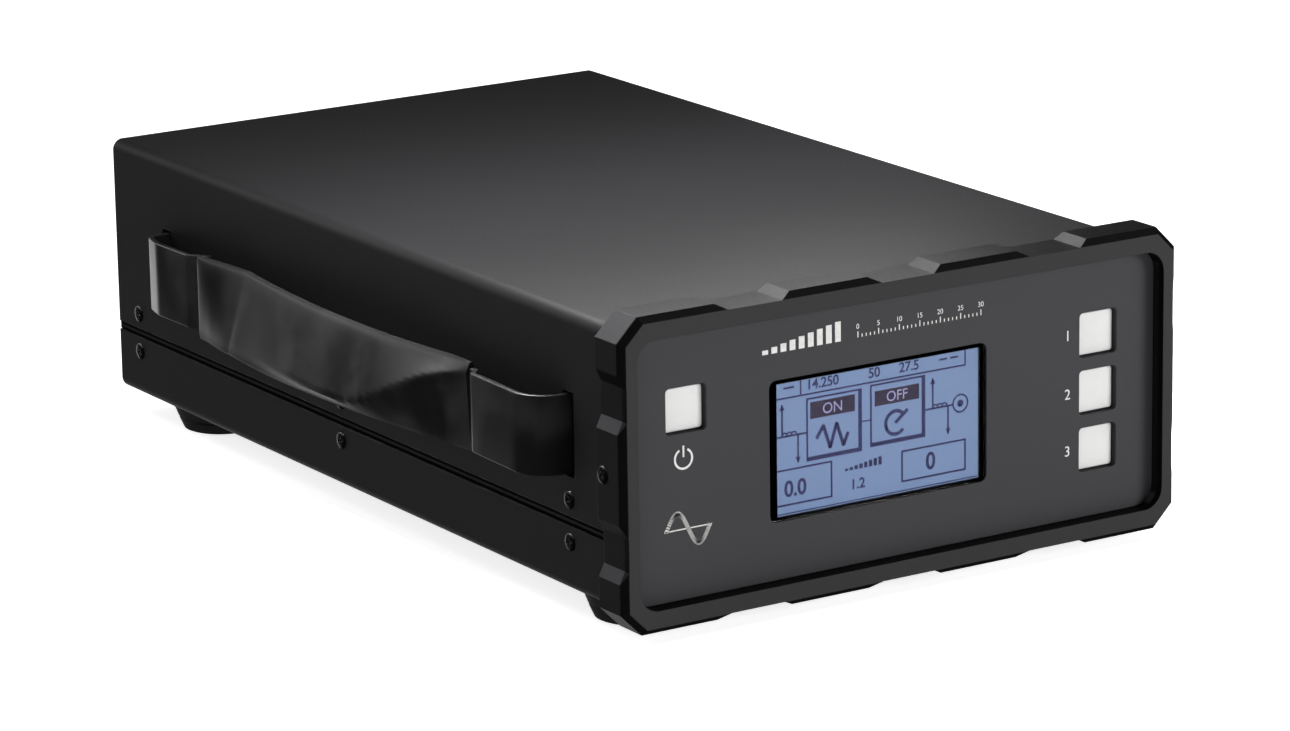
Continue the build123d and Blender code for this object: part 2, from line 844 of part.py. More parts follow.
for name, place in key_places.items():
    with BuildPart() as key:
        with BuildSketch(facing(key_flange_front)):
            with Locations(place):
                RectangleRounded(key_size, key_size, key_corner)
        extrude(amount=key_flange_front - key_face)
        fillet(key.faces().sort_by(Axis.Y)[0].edges(), radius=key_edge)
        with BuildSketch(facing(key_flange_front + key_flange_thickness)):
            with Locations(place):
                Rectangle(key_size + 2 * key_flange, key_size + 2 * key_flange)
        extrude(amount=key_flange_thickness)
        with BuildSketch(facing(post_end)):
            with Locations(place):
                Circle(post_radius)
        extrude(amount=post_end - key_flange_front)
    key.part.label = name
    export_step(key.part, f"parts/{name}.step")

# ---------------------------------------------------------------- carrying strap


def left_of_case(points):
    """Points given outwards from the left side, as level-plane coordinates."""
    return [(-case_half - out, y) for out, y in points]


strap_front = [
    (-strap_inside, strap_mouth + clamp_length + 3 * strap_thickness),
    (-strap_inside, strap_mouth),
    (loop_reach, strap_mouth),
    (loop_reach - strap_thickness / 2, strap_mouth + loop_length),
    (strap_dipped, strap_mouth + loop_length + grip_gap / 2),
    (strap_dipped + strap_thickness / 4, grip_arc_start),
]
strap_rear = [(out, 2 * strap_mid - y) for out, y in reversed(strap_front)]
strap_radii = [inner_loop_radius, loop_radius, dip_radius, dip_radius]
grip_front = [(strap_dipped, grip_start), strap_front[-1]]
grip_rear = [(out, 2 * strap_mid - y) for out, y in reversed(grip_front)]


def grip_arc():
    """Bulging middle of the strap's line, between the grip's two ends."""
    front, middle, rear = left_of_case([strap_front[-1], (grip_mid_out, strap_mid), strap_rear[0]])
    ThreePointArc(front, middle, rear)


def grip_line():
    """Middle line of the grip."""
    Line(*left_of_case(grip_front))
    grip_arc()
    Line(*left_of_case(grip_rear))


with BuildPart() as handle_strap:
    with BuildSketch(level(strap_height - strap_width / 2)):
        with BuildLine():
            FilletPolyline(*left_of_case(strap_front), radius=strap_radii)
            grip_arc()
            FilletPolyline(*left_of_case(strap_rear), radius=strap_radii[::-1])
            offset(amount=strap_thickness / 2, side=Side.BOTH, kind=Kind.ARC)
        make_face()
    extrude(amount=strap_width)
    with BuildSketch(beside(-case_half + clamp_out)):
        for y in strap_stud_ys:
            with Locations((y, strap_height)):
                with GridLocations(1, clamp_stud_distance, 1, 2):
                    Circle(m3_radius + hole_play)
    extrude(amount=-strap_thickness - 2 * fit, mode=Mode.SUBTRACT)

handle_strap.part.label = "handle_strap"
export_step(handle_strap.part, "parts/handle_strap.step")

with BuildPart() as handle_grip:
    with BuildSketch(level(strap_height - grip_width / 2)):
        with BuildLine():
            grip_line()
            offset(amount=grip_thickness / 2, side=Side.BOTH, kind=Kind.ARC)
        make_face()
    extrude(amount=grip_width)
    with BuildSketch(level(strap_height - strap_width / 2 - fit)):
        with BuildLine():
            grip_line()
            offset(amount=strap_thickness / 2 + fit, side=Side.BOTH, kind=Kind.ARC)
        make_face()
        with Locations(*left_of_case([grip_front[0], grip_rear[1]])):
            Rectangle(strap_thickness + 2 * fit, 2 * grip_thickness)
    extrude(amount=strap_width + 2 * fit, mode=Mode.SUBTRACT)

handle_grip.part.label = "handle_grip"
export_step(handle_grip.part, "parts/handle_grip.step")

with BuildPart() as strap_clamps:
    with BuildSketch(beside(-case_half + clamp_out)):
        for y in strap_stud_ys:
            with Locations((y, strap_height)):
                RectangleRounded(clamp_length, strap_width, clamp_corner)
                with GridLocations(1, clamp_stud_distance, 1, 2):
                    Circle(m3_radius + hole_play, mode=Mode.SUBTRACT)
    extrude(amount=clamp_thickness)

strap_clamps.part.label = "strap_clamps"
export_step(strap_clamps.part, "parts/strap_clamps.step")

with BuildPart() as strap_clamp_nuts:
    with BuildSketch(beside(-case_half + clamp_out + clamp_thickness)):
        for y in strap_stud_ys:
            with Locations((y, strap_height)):
                with GridLocations(1, clamp_stud_distance, 1, 2):
                    RegularPolygon(radius=m3_nut_radius, side_count=6)
                    Circle(m3_radius + tap_play, mode=Mode.SUBTRACT)
    extrude(amount=m3_nut_height)

strap_clamp_nuts.part.label = "strap_clamp_nuts"
export_step(strap_clamp_nuts.part, "parts/strap_clamp_nuts.step")

# ---------------------------------------------------------------- rear panel

socket_places = {
    "input_socket": (input_socket_x, socket_row_height),
    "antenna_socket": (antenna_socket_x, socket_row_height),
}
socket_neck_radius = socket_bore_radius + socket_neck_wall
inlet_place = (inlet_x, low_row_height)
ground_place = (ground_x, ground_height)
accessory_place = (accessory_x, low_row_height)
jack_place = (jack_x, low_row_height)
fan_place = (fan_x, case_mid)

with BuildPart() as rear_panel:
    with BuildSketch(facing(rear_outside)):
        with Locations((0, case_mid)):
            RectangleRounded(2 * bulkhead_half, bulkhead_height, bend_radius - sheet)
        with Locations(fan_place):
            Circle(fan_bore_radius, mode=Mode.SUBTRACT)
            with GridLocations(fan_hole_distance, fan_hole_distance, 2, 2):
                Circle(m3_radius + hole_play, mode=Mode.SUBTRACT)
        for place in socket_places.values():
            with Locations(place):
                Circle(socket_neck_radius + fit, mode=Mode.SUBTRACT)
                with GridLocations(socket_hole_pitch, socket_hole_pitch, 2, 2):
                    Circle(m3_radius + tap_play, mode=Mode.SUBTRACT)
        with Locations(inlet_place):
            Rectangle(inlet_width + fit, inlet_height + fit, mode=Mode.SUBTRACT)
        with Locations(ground_place):
            Circle(ground_radius + hole_play, mode=Mode.SUBTRACT)
        with Locations(accessory_place):
            Circle(accessory_radius + fit, mode=Mode.SUBTRACT)
        with Locations(jack_place):
            Circle(jack_collar_radius + fit, mode=Mode.SUBTRACT)
        with Locations((-rail_middle_x, rail_end_screw), (rail_middle_x, rail_end_screw)):
            Circle(m3_radius + hole_play, mode=Mode.SUBTRACT)
    extrude(amount=rear_sheet)

rear_panel.part.label = "rear_panel"
export_step(rear_panel.part, "parts/rear_panel.step")

# ---------------------------------------------------------------- fan

fan_front = rear_inside - fan_depth
fan_hub_front = fan_front + fan_tip_play
fan_hub_rear = rear_inside - fan_base - fan_tip_play
guard_rings = [guard_first_ring + n * guard_ring_pitch for n in range(guard_ring_count)]
guard_thickness = 2 * guard_wire

with BuildPart() as fan_frame:
    with BuildSketch(facing(rear_inside)):
        with Locations(fan_place):
            RectangleRounded(fan_size, fan_size, fan_corner)
            Circle(fan_bore_radius, mode=Mode.SUBTRACT)
    extrude(amount=fan_depth)
    with BuildSketch(facing(rear_inside)):
        with Locations(fan_place):
            Circle(fan_hub_radius)
            Rectangle(fan_size - fan_base, fan_base)
            Rectangle(fan_base, fan_size - fan_base)
    extrude(amount=fan_base)
    with BuildSketch(facing(rear_inside - fan_base)):
        with Locations(fan_place):
            Circle(fan_pin_radius)
    extrude(amount=fan_depth - fan_base - 2 * fan_tip_play)
    with BuildSketch(facing(rear_inside)):
        with Locations(fan_place):
            with GridLocations(fan_hole_distance, fan_hole_distance, 2, 2):
                Circle(m3_radius + tap_play)
    extrude(amount=fan_depth, mode=Mode.SUBTRACT)

fan_frame.part.label = "fan_frame"
export_step(fan_frame.part, "parts/fan_frame.step")

fan_hub_length = fan_hub_rear - fan_hub_front
blade_middle = (fan_hub_front + fan_hub_rear) / 2

with BuildPart() as fan_impeller:
    with BuildSketch(facing(fan_hub_rear)):
        with Locations(fan_place):
            Circle(fan_hub_radius)
    extrude(amount=fan_hub_length)
    for n in range(fan_blades):
        turn = radians(n * 360 / fan_blades)
        radial = (cos(turn), 0, sin(turn))
        root = Plane(
            origin=(case_x + fan_x, case_y + blade_middle, case_mid), x_dir=(0, 1, 0), z_dir=radial
        )
        with BuildSketch(root.offset(fan_hub_radius - 2 * blade_thickness)):
            Rectangle(blade_chord, blade_thickness, rotation=blade_pitch)
        extrude(amount=fan_bore_radius)
    with BuildSketch(facing(fan_hub_rear)):
        with Locations(fan_place):
            Circle(fan_bore_radius - fan_tip_play)
    extrude(amount=fan_hub_length, mode=Mode.INTERSECT)
    with BuildSketch(facing(fan_hub_rear)):
        with Locations(fan_place):
            Circle(fan_pin_radius + fan_pin_play)
    extrude(amount=fan_hub_length, mode=Mode.SUBTRACT)

fan_impeller.part.label = "fan_impeller"
export_step(fan_impeller.part, "parts/fan_impeller.step")

ear_distance = fan_hole_distance / 2
guard_arm = 2 * hypot(ear_distance, ear_distance) - guard_ear_radius

with BuildPart() as fan_guard:
    with BuildSketch(facing(rear_outside + guard_thickness)):
        with Locations(fan_place):
            with GridLocations(fan_hole_distance, fan_hole_distance, 2, 2):
                Circle(guard_ear_radius)
            for angle in (45, -45):
                Rectangle(guard_arm, guard_thickness, rotation=angle)
            for ring in guard_rings:
                with BuildSketch(mode=Mode.PRIVATE) as ring_face:
                    Circle(ring + guard_wire)
                    Circle(ring - guard_wire, mode=Mode.SUBTRACT)
                add(ring_face.sketch)
            with GridLocations(fan_hole_distance, fan_hole_distance, 2, 2):
                Circle(m3_radius + hole_play, mode=Mode.SUBTRACT)
    extrude(amount=guard_thickness)

fan_guard.part.label = "fan_guard"
export_step(fan_guard.part, "parts/fan_guard.step")

fan_seats = [
    seat(fan_x + sx * ear_distance, rear_outside + guard_thickness, case_mid + sz * ear_distance, (0, 1, 0))
    for sx, sz in corner_signs
]
screw_set("fan_screws", fan_seats, m3_radius, fan_screw_length, m3_head_radius, m3_head_height)

# ---------------------------------------------------------------- sockets on the rear panel

socket_face = socket_end - insulator_sunk

for name, place in socket_places.items():
    with BuildPart() as socket:
        with BuildSketch(facing(rear_outside + socket_flange_thickness)):
            with Locations(place):
                RectangleRounded(socket_flange, socket_flange, socket_corner)
                with GridLocations(socket_hole_pitch, socket_hole_pitch, 2, 2):
                    Circle(m3_radius + hole_play, mode=Mode.SUBTRACT)
        extrude(amount=socket_flange_thickness)
        with BuildSketch(facing(socket_end)):
            with Locations(place):
                Circle(socket_thread_radius)
        extrude(amount=socket_reach)
        with BuildSketch(facing(rear_outside)):
            with Locations(place):
                Circle(socket_neck_radius)
        extrude(amount=rear_sheet + socket_neck)
        with BuildSketch(facing(socket_end)):
            with Locations(place):
                Circle(socket_bore_radius)
        extrude(amount=socket_end, mode=Mode.SUBTRACT)
        with BuildSketch(facing(socket_end)):
            with Locations(place):
                Rectangle(3 * socket_thread_radius, socket_slot)
                Rectangle(socket_slot, 3 * socket_thread_radius)
        extrude(amount=insulator_sunk, mode=Mode.SUBTRACT)
    socket.part.label = name
    export_step(socket.part, f"parts/{name}.step")

with BuildPart() as socket_insulators:
    with BuildSketch(facing(socket_face)):
        with Locations(*socket_places.values()):
            Circle(socket_bore_radius - fit / 2)
            Circle(contact_radius + fit / 4, mode=Mode.SUBTRACT)
    extrude(amount=socket_face - rear_inside + socket_neck + insulator_tail)

socket_insulators.part.label = "socket_insulators"
export_step(socket_insulators.part, "parts/socket_insulators.step")

with BuildPart() as socket_contacts:
    with BuildSketch(facing(socket_face)):
        with Locations(*socket_places.values()):
            Circle(contact_radius)
    extrude(amount=socket_face - rear_inside + contact_tail)
    with BuildSketch(facing(socket_face)):
        with Locations(*socket_places.values()):
            Circle(contact_bore_radius)
    extrude(amount=contact_bore_depth, mode=Mode.SUBTRACT)

socket_contacts.part.label = "socket_contacts"
export_step(socket_contacts.part, "parts/socket_contacts.step")

socket_seats = [
    seat(
        x + sx * socket_hole_pitch / 2,
        rear_outside + socket_flange_thickness,
        z + sz * socket_hole_pitch / 2,
        (0, 1, 0),
    )
    for x, z in socket_places.values()
    for sx, sz in corner_signs
]
screw_set("socket_screws", socket_seats, m3_radius, socket_screw_length, m3_head_radius, m3_head_height)

inlet_mouth = rear_outside + inlet_reach
inlet_back = inlet_mouth - inlet_depth - inlet_wall

with BuildPart() as power_inlet:
    with BuildSketch(facing(rear_outside + inlet_wall)):
        with Locations(inlet_place):
            RectangleRounded(inlet_width + 2 * inlet_flange, inlet_height + 2 * inlet_flange, inlet_wall)
    extrude(amount=inlet_wall)
    with BuildSketch(facing(inlet_mouth)):
        with Locations(inlet_place):
            Rectangle(inlet_width, inlet_height)
    extrude(amount=inlet_mouth - inlet_back)
    with BuildSketch(facing(inlet_mouth)):
        with Locations(inlet_place):
            Rectangle(inlet_width - 2 * inlet_wall, inlet_height - 2 * inlet_wall)
    extrude(amount=inlet_depth, mode=Mode.SUBTRACT)
    with BuildSketch(facing(inlet_mouth)):
        with Locations(inlet_place):
            with GridLocations(inlet_pin_spacing, 1, 2, 1):
                Rectangle(inlet_pin_width + fit / 2, inlet_pin_height + fit / 2)
    extrude(amount=inlet_mouth, mode=Mode.SUBTRACT)

power_inlet.part.label = "power_inlet"
export_step(power_inlet.part, "parts/power_inlet.step")

with BuildPart() as power_inlet_pins:
    with BuildSketch(facing(inlet_mouth - inlet_wall)):
        with Locations(inlet_place):
            with GridLocations(inlet_pin_spacing, 1, 2, 1):
                Rectangle(inlet_pin_width, inlet_pin_height)
    extrude(amount=inlet_depth + inlet_tail)

power_inlet_pins.part.label = "power_inlet_pins"
export_step(power_inlet_pins.part, "parts/power_inlet_pins.step")

with BuildPart() as ground_stud:
    with BuildSketch(facing(rear_inside)):
        with Locations(ground_place):
            RegularPolygon(radius=ground_head_radius, side_count=6)
    extrude(amount=ground_head_height)
    with BuildSketch(facing(rear_outside + ground_reach)):
        with Locations(ground_place):
            Circle(ground_radius)
    extrude(amount=ground_reach + rear_sheet)
    with BuildSketch(facing(ground_nut_rear + ground_relief)):
        with Locations(ground_place):
            Circle(ground_radius + fit)
            Circle(ground_radius - ground_relief_depth, mode=Mode.SUBTRACT)
    extrude(amount=ground_relief, mode=Mode.SUBTRACT)

ground_stud.part.label = "ground_stud"
export_step(ground_stud.part, "parts/ground_stud.step")

with BuildPart() as ground_nuts:
    with BuildSketch(facing(rear_outside + ground_washer_thickness)):
        with Locations(ground_place):
            Circle(ground_washer_radius)
            Circle(ground_radius + tap_play, mode=Mode.SUBTRACT)
    extrude(amount=ground_washer_thickness)
    with BuildSketch(facing(ground_nut_rear)):
        with Locations(ground_place):
            RegularPolygon(radius=ground_head_radius, side_count=6)
            Circle(ground_radius + tap_play, mode=Mode.SUBTRACT)
    extrude(amount=ground_nut_height)

ground_nuts.part.label = "ground_nuts"
export_step(ground_nuts.part, "parts/ground_nuts.step")

with BuildPart() as accessory_socket:
    with BuildSketch(facing(rear_outside + accessory_reach)):
        with Locations(accessory_place):
            Circle(accessory_radius)
    extrude(amount=accessory_reach + rear_sheet)
    with BuildSketch(facing(rear_inside)):
        with Locations(accessory_place):
            Rectangle(accessory_body, accessory_body)
    extrude(amount=accessory_depth)
    with BuildSketch(facing(rear_outside + accessory_reach)):
        with Locations(accessory_place):
            Circle(accessory_groove_radius)
            Circle(accessory_core_radius, mode=Mode.SUBTRACT)
            Rectangle(accessory_key_width, accessory_key_height)
            with PolarLocations(accessory_pin_circle, accessory_pins, 90 + 180 / accessory_pins):
                Circle(accessory_pin_radius)
    extrude(amount=accessory_depth / 2, mode=Mode.SUBTRACT)

accessory_socket.part.label = "accessory_socket"
export_step(accessory_socket.part, "parts/accessory_socket.step")

with BuildPart() as control_jack:
    with BuildSketch(facing(rear_inside)):
        with Locations(jack_place):
            Rectangle(jack_body, jack_body)
    extrude(amount=accessory_depth)
    with BuildSketch(facing(rear_outside + jack_reach)):
        with Locations(jack_place):
            Circle(jack_collar_radius)
    extrude(amount=jack_reach + rear_sheet)
    with BuildSketch(facing(rear_outside + jack_reach)):
        with Locations(jack_place):
            Circle(jack_bore_radius)
    extrude(amount=jack_bore_depth, mode=Mode.SUBTRACT)
    with BuildSketch(facing(rear_outside + jack_nut_height)):
        with Locations(jack_place):
            RegularPolygon(radius=jack_nut_radius, side_count=6)
            Circle(jack_collar_radius + tap_play, mode=Mode.SUBTRACT)
    extrude(amount=jack_nut_height)

control_jack.part.label = "control_jack"
export_step(control_jack.part, "parts/control_jack.step")

# ---------------------------------------------------------------- heatsink and power stage

fin_span = sink_width - sink_outer_fin
fin_pitch = fin_span / (sink_fins + 1)


def board_corners(x, y, width, length):
    """Places of the four screws of a board on the heatsink."""
    reach_x = width / 2 - board_edge
    reach_y = length / 2 - board_edge
    return [(x + sx * reach_x, y + sy * reach_y) for sx, sy in corner_signs]


amplifier_board_places = board_corners(amplifier_x, amplifier_mid, amplifier_board_width, amplifier_length)
filter_board_places = board_corners(filter_x, filter_mid, filter_board_width, filter_board_length)
tuner_board_places = board_corners(filter_x, tuner_mid, filter_board_width, tuner_board_length)
power_board_places = amplifier_board_places + filter_board_places + tuner_board_places
transistor_places = [
    (amplifier_x - transistor_spacing / 2, transistor_y),
    (amplifier_x + transistor_spacing / 2, transistor_y),
]

with BuildPart() as heatsink:
    with BuildSketch(facing(sink_rear)):
        with Locations((0, sink_top)):
            Rectangle(sink_width, sink_base, align=(Align.CENTER, Align.MAX))
        with Locations((0, sink_floor)):
            with GridLocations(fin_span, 1, 2, 1):
                Rectangle(sink_outer_fin, sink_height, align=(Align.CENTER, Align.MIN))
            with GridLocations(fin_pitch, 1, sink_fins, 1):
                Rectangle(sink_fin, sink_height, align=(Align.CENTER, Align.MIN))
    extrude(amount=sink_length)
    with BuildSketch(level(sink_top)):
        with Locations(*power_board_places):
            Circle(m25_radius + tap_play)
    extrude(amount=-board_screw_length / 2, mode=Mode.SUBTRACT)
    with BuildSketch(level(sink_floor)):
        for y in sink_screw_ys:
            with Locations((-sink_screw_x, y), (sink_screw_x, y)):
                Circle(m3_radius + tap_play)
    extrude(amount=frame_screw_length, mode=Mode.SUBTRACT)

heatsink.part.label = "heatsink"
export_step(heatsink.part, "parts/heatsink.step")

sink_seats = [seat(sx * sink_screw_x, y, case_floor, (0, 0, -1)) for y in sink_screw_ys for sx in (-1, 1)]
screw_set("heatsink_screws", sink_seats, m3_radius, frame_screw_length, m3_head_radius, m3_head_height)

ribbon_plug_y = sink_front + board_edge + ribbon_plug_behind_edge

with BuildPart() as amplifier_board:
    with BuildSketch(level(board_low)):
        with Locations((amplifier_x, amplifier_mid)):
            Rectangle(amplifier_board_width, amplifier_length)
        with Locations(*amplifier_board_places):
            Circle(m25_radius + hole_play, mode=Mode.SUBTRACT)
        with Locations(*transistor_places):
            Rectangle(
                transistor_width + 2 * opening_play,
                transistor_length + 2 * opening_play,
                mode=Mode.SUBTRACT,
            )
    extrude(amount=board_thickness)
    with BuildSketch(level(board_high)):
        with Locations((amplifier_x, ribbon_plug_y)):
            Rectangle(ribbon_plug_width, ribbon_plug_depth)
    extrude(amount=ribbon_plug_height)
    with BuildSketch(level(board_high)):
        for n in range(2):
            with Locations((amplifier_x - n * capacitor_pitch, output_ferrite_y + ferrite_length)):
                Circle(capacitor_radius)
    extrude(amount=capacitor_height)

amplifier_board.part.label = "amplifier_board"
export_step(amplifier_board.part, "parts/amplifier_board.step")

with BuildPart() as power_transistors:
    with BuildSketch(level(sink_top)):
        with Locations(*transistor_places):
            Rectangle(transistor_width, transistor_length)
    extrude(amount=board_high - sink_top + transistor_proud)
    with BuildSketch(level(board_high)):
        for x, y in transistor_places:
            with Locations((x, y - transistor_length / 2 + transistor_lead_width)):
                with GridLocations(transistor_lead_pitch, 1, 3, 1):
                    Rectangle(
                        transistor_lead_width, transistor_lead_length, align=(Align.CENTER, Align.MAX)
                    )
    extrude(amount=transistor_lead_thickness)

power_transistors.part.label = "power_transistors"
export_step(power_transistors.part, "parts/power_transistors.step")

with BuildPart() as output_transformer:
    with BuildSketch(facing(output_ferrite_y + ferrite_length / 2)):
        with Locations((amplifier_x, board_high + ferrite_height / 2)):
            Rectangle(ferrite_width, ferrite_height)
            with GridLocations(ferrite_width / 2, 1, 2, 1):
                Circle(ferrite_bore, mode=Mode.SUBTRACT)
    extrude(amount=ferrite_length)

output_transformer.part.label = "output_transformer"
export_step(output_transformer.part, "parts/output_transformer.step")

with BuildPart() as input_transformer:
    with BuildSketch(facing(input_ferrite_y + small_ferrite / 2)):
        with Locations((amplifier_x, board_high + small_ferrite / 4)):
            Rectangle(small_ferrite, small_ferrite / 2)
            with GridLocations(small_ferrite / 2, 1, 2, 1):
                Circle(ferrite_bore / 2, mode=Mode.SUBTRACT)
    extrude(amount=small_ferrite)

input_transformer.part.label = "input_transformer"
export_step(input_transformer.part, "parts/input_transformer.step")

for name, middle, length, places in (
    ("filter_board", filter_mid, filter_board_length, filter_board_places),
    ("tuner_board", tuner_mid, tuner_board_length, tuner_board_places),
):
    with BuildPart() as board:
        with BuildSketch(level(board_low)):
            with Locations((filter_x, middle)):
                Rectangle(filter_board_width, length)
            with Locations(*places):
                Circle(m25_radius + hole_play, mode=Mode.SUBTRACT)
        extrude(amount=board_thickness)
    board.part.label = name
    export_step(board.part, f"parts/{name}.step")

coil_pitch = 2 * (coil_radius + coil_wire) + coil_gap
coil_x = filter_x - coil_beside_middle
relay_x = filter_x + relay_beside_middle
row_ys = [filter_mid + n * coil_pitch for n in (-1, 0, 1)]
row_ys += [tuner_mid + n * coil_pitch / 2 for n in (-1, 1)]

with BuildPart() as toroid_coils:
    with Locations(level(board_high + coil_wire)):
        with Locations(*[(coil_x, y) for y in row_ys]):
            Torus(coil_radius, coil_wire)

toroid_coils.part.label = "toroid_coils"
export_step(toroid_coils.part, "parts/toroid_coils.step")

with BuildPart() as relays:
    with BuildSketch(level(board_high)):
        with Locations(*[(relay_x, y) for y in row_ys]):
            Rectangle(relay_width, relay_length)
    extrude(amount=relay_height)

relays.part.label = "relays"
export_step(relays.part, "parts/relays.step")

with BuildPart() as board_standoffs:
    with BuildSketch(level(sink_top)):
        with Locations(*power_board_places):
            Circle(standoff_radius)
            Circle(m25_radius + tap_play, mode=Mode.SUBTRACT)
    extrude(amount=standoff_height)
    with BuildSketch(facing(board_front)):
        with Locations(*standoff_places):
            Circle(standoff_radius)
            Circle(m25_radius + tap_play, mode=Mode.SUBTRACT)
    extrude(amount=control_board_gap)

board_standoffs.part.label = "board_standoffs"
export_step(board_standoffs.part, "parts/board_standoffs.step")

board_seats = [seat(x, y, board_high, (0, 0, 1)) for x, y in power_board_places]
board_seats += [seat(x, board_rear, z, (0, 1, 0)) for x, z in standoff_places]
screw_set("board_screws", board_seats, m25_radius, board_screw_length, m25_head_radius, m25_head_height)

# ---------------------------------------------------------------- leads inside the case

ribbon_start = board_rear + chip_height
ribbon_end = ribbon_plug_y - ribbon_plug_depth / 2
ribbon_end_z = board_high + ribbon_plug_height / 2
ribbon_third = (ribbon_end - ribbon_start) / 3
ribbon_route = [
    (ribbon_start, ribbon_z),
    (ribbon_start + ribbon_third, ribbon_z),
    (ribbon_start + ribbon_third, ribbon_z + ribbon_loop),
    (ribbon_end - ribbon_third, ribbon_z + ribbon_loop),
    (ribbon_end - ribbon_third, ribbon_end_z),
    (ribbon_end, ribbon_end_z),
]

with BuildPart() as ribbon_cable:
    with BuildSketch(beside(ribbon_x - ribbon_width / 2)):
        with BuildLine():
            FilletPolyline(*ribbon_route, radius=ribbon_bend)
            offset(amount=ribbon_thickness / 2, side=Side.BOTH, kind=Kind.ARC)
        make_face()
        for place, side in (((ribbon_start, ribbon_z), Align.MAX), ((ribbon_end, ribbon_end_z), Align.MIN)):
            with Locations(place):
                Rectangle(ribbon_width, ribbon_bend, align=(side, Align.CENTER), mode=Mode.SUBTRACT)
    extrude(amount=ribbon_width)

ribbon_cable.part.label = "ribbon_cable"
export_step(ribbon_cable.part, "parts/ribbon_cable.step")


def case_point(x, y, z):
    """A place in the case, in the part's own frame."""
    return (case_x + x, case_y + y, z)


coax_start = rear_inside - contact_tail
lead_turn = sink_rear + lead_turn_behind_sink
lead_end = sink_rear - lead_end_before_sink
coax_routes = [
    [
        case_point(socket_x, coax_start, socket_row_height),
        case_point(socket_x, lead_turn, socket_row_height),
        case_point(board_x, lead_end, socket_row_height),
        case_point(board_x, lead_end, board_high),
    ]
    for socket_x, board_x in (
        (input_socket_x, amplifier_x + coax_end_beside_middle),
        (antenna_socket_x, coil_x),
    )
]
pin_tail = inlet_mouth - inlet_wall - inlet_depth - inlet_tail
power_height = board_high + lead_bend + 2 * lead_radius
power_routes = []
for side in (-1, 1):
    wire_x = inlet_x + side * inlet_pin_spacing / 2
    board_x = amplifier_x + power_end_beside_middle + side * power_end_spread
    power_routes.append(
        [
            case_point(wire_x, pin_tail, low_row_height),
            case_point(wire_x, lead_turn, low_row_height),
            case_point(wire_x, lead_turn, power_height),
            case_point(board_x, lead_end, power_height),
            case_point(board_x, lead_end, board_high),
        ]
    )

for name, routes in (("coax_leads", coax_routes), ("power_leads", power_routes)):
    with BuildPart() as leads:
        for route in routes:
            with BuildLine() as path:
                FilletPolyline(*route, radius=lead_bend)
            with BuildSketch(Plane(origin=path.line @ 0, z_dir=path.line % 0)):
                Circle(lead_radius)
            sweep(path=path.line)
    leads.part.label = name
    export_step(leads.part, f"parts/{name}.step")
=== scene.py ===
"""Finishes and fine pieces of a desktop HF linear amplifier, built around its CAD model."""

import json
from math import cos, pi, radians, sin, sqrt, tan

import bmesh
import bpy
from bpy.props import FloatProperty, FloatVectorProperty, PointerProperty
from mathutils import Matrix, Vector


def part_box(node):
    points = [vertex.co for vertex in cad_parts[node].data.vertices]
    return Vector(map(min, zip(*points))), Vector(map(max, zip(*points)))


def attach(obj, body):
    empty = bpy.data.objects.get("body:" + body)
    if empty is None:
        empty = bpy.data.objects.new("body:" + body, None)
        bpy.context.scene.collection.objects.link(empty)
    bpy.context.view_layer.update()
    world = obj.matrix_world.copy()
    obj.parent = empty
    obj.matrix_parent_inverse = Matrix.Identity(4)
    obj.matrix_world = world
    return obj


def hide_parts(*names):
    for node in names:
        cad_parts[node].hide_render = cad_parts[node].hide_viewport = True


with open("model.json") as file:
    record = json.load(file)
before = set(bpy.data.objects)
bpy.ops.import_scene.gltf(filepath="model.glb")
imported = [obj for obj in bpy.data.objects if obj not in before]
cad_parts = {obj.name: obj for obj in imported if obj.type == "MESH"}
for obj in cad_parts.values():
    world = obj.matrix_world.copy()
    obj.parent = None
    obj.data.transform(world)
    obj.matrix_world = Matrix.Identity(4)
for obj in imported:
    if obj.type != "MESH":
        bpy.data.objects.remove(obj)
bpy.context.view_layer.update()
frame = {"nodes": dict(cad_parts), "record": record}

bl_info = {
    "name": "Desktop HF linear amplifier",
    "version": (1, 0, 0),
    "blender": (4, 5, 0),
    "location": "3D View > Sidebar > Amplifier",
    "description": "Paints the amplifier's CAD parts and adds its screws, markings, display and strap",
    "category": "Object",
}

MM = 0.001
DEPTH = Vector((0, 1, 0))  # from the front to the rear
SAME_PLACE = 1e-7  # corners nearer than this are one, in metres
SAME_LEVEL = 1e-5  # corners of the CAD nearer than this lie on one level, in metres
SHARP_ANGLE = radians(38)  # faces that meet at less look like one smooth face
CORNER_STEPS = 10
LATHE_STEPS = 64
FINE_EDGE = 0.2 * MM  # rounding of unpainted edges
DISPLAY_PITCH = 0.48 * MM  # from one picture element to the next
DISPLAY_MIDDLE = (-5.5, 0, 41.95)
WIRE_PITCH = 1.27 * MM  # from one wire of the flat cable to the next

# Places are given from the case's middle (x), the bezel's front rim (y) and the standing
# surface (z), in millimetres.
cover_low, cover_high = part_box("top_cover")
case_origin = Vector(((cover_low.x + cover_high.x) / 2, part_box("front_bezel")[0].y, 0))
case_half = (cover_high.x - cover_low.x) / 2 / MM
panel_face = (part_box("front_panel")[0].y - case_origin.y) / MM
glass_face = (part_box("display_glass")[0].y - case_origin.y) / MM


def at(x, y, z):
    """Point of the shared frame for a place in millimetres."""
    return case_origin + Vector((x, y, z)) * MM


def tone(code):
    """Linear colour of a six-digit screen colour."""
    parts = [int(code[n : n + 2], 16) / 255 for n in (0, 2, 4)]
    return tuple(p / 12.92 if p <= 0.04045 else ((p + 0.055) / 1.055) ** 2.4 for p in parts)


def opaque(colour):
    """A colour with full alpha, as colour sockets take it."""
    return (*colour[:3], 1.0)


# -------- node graphs


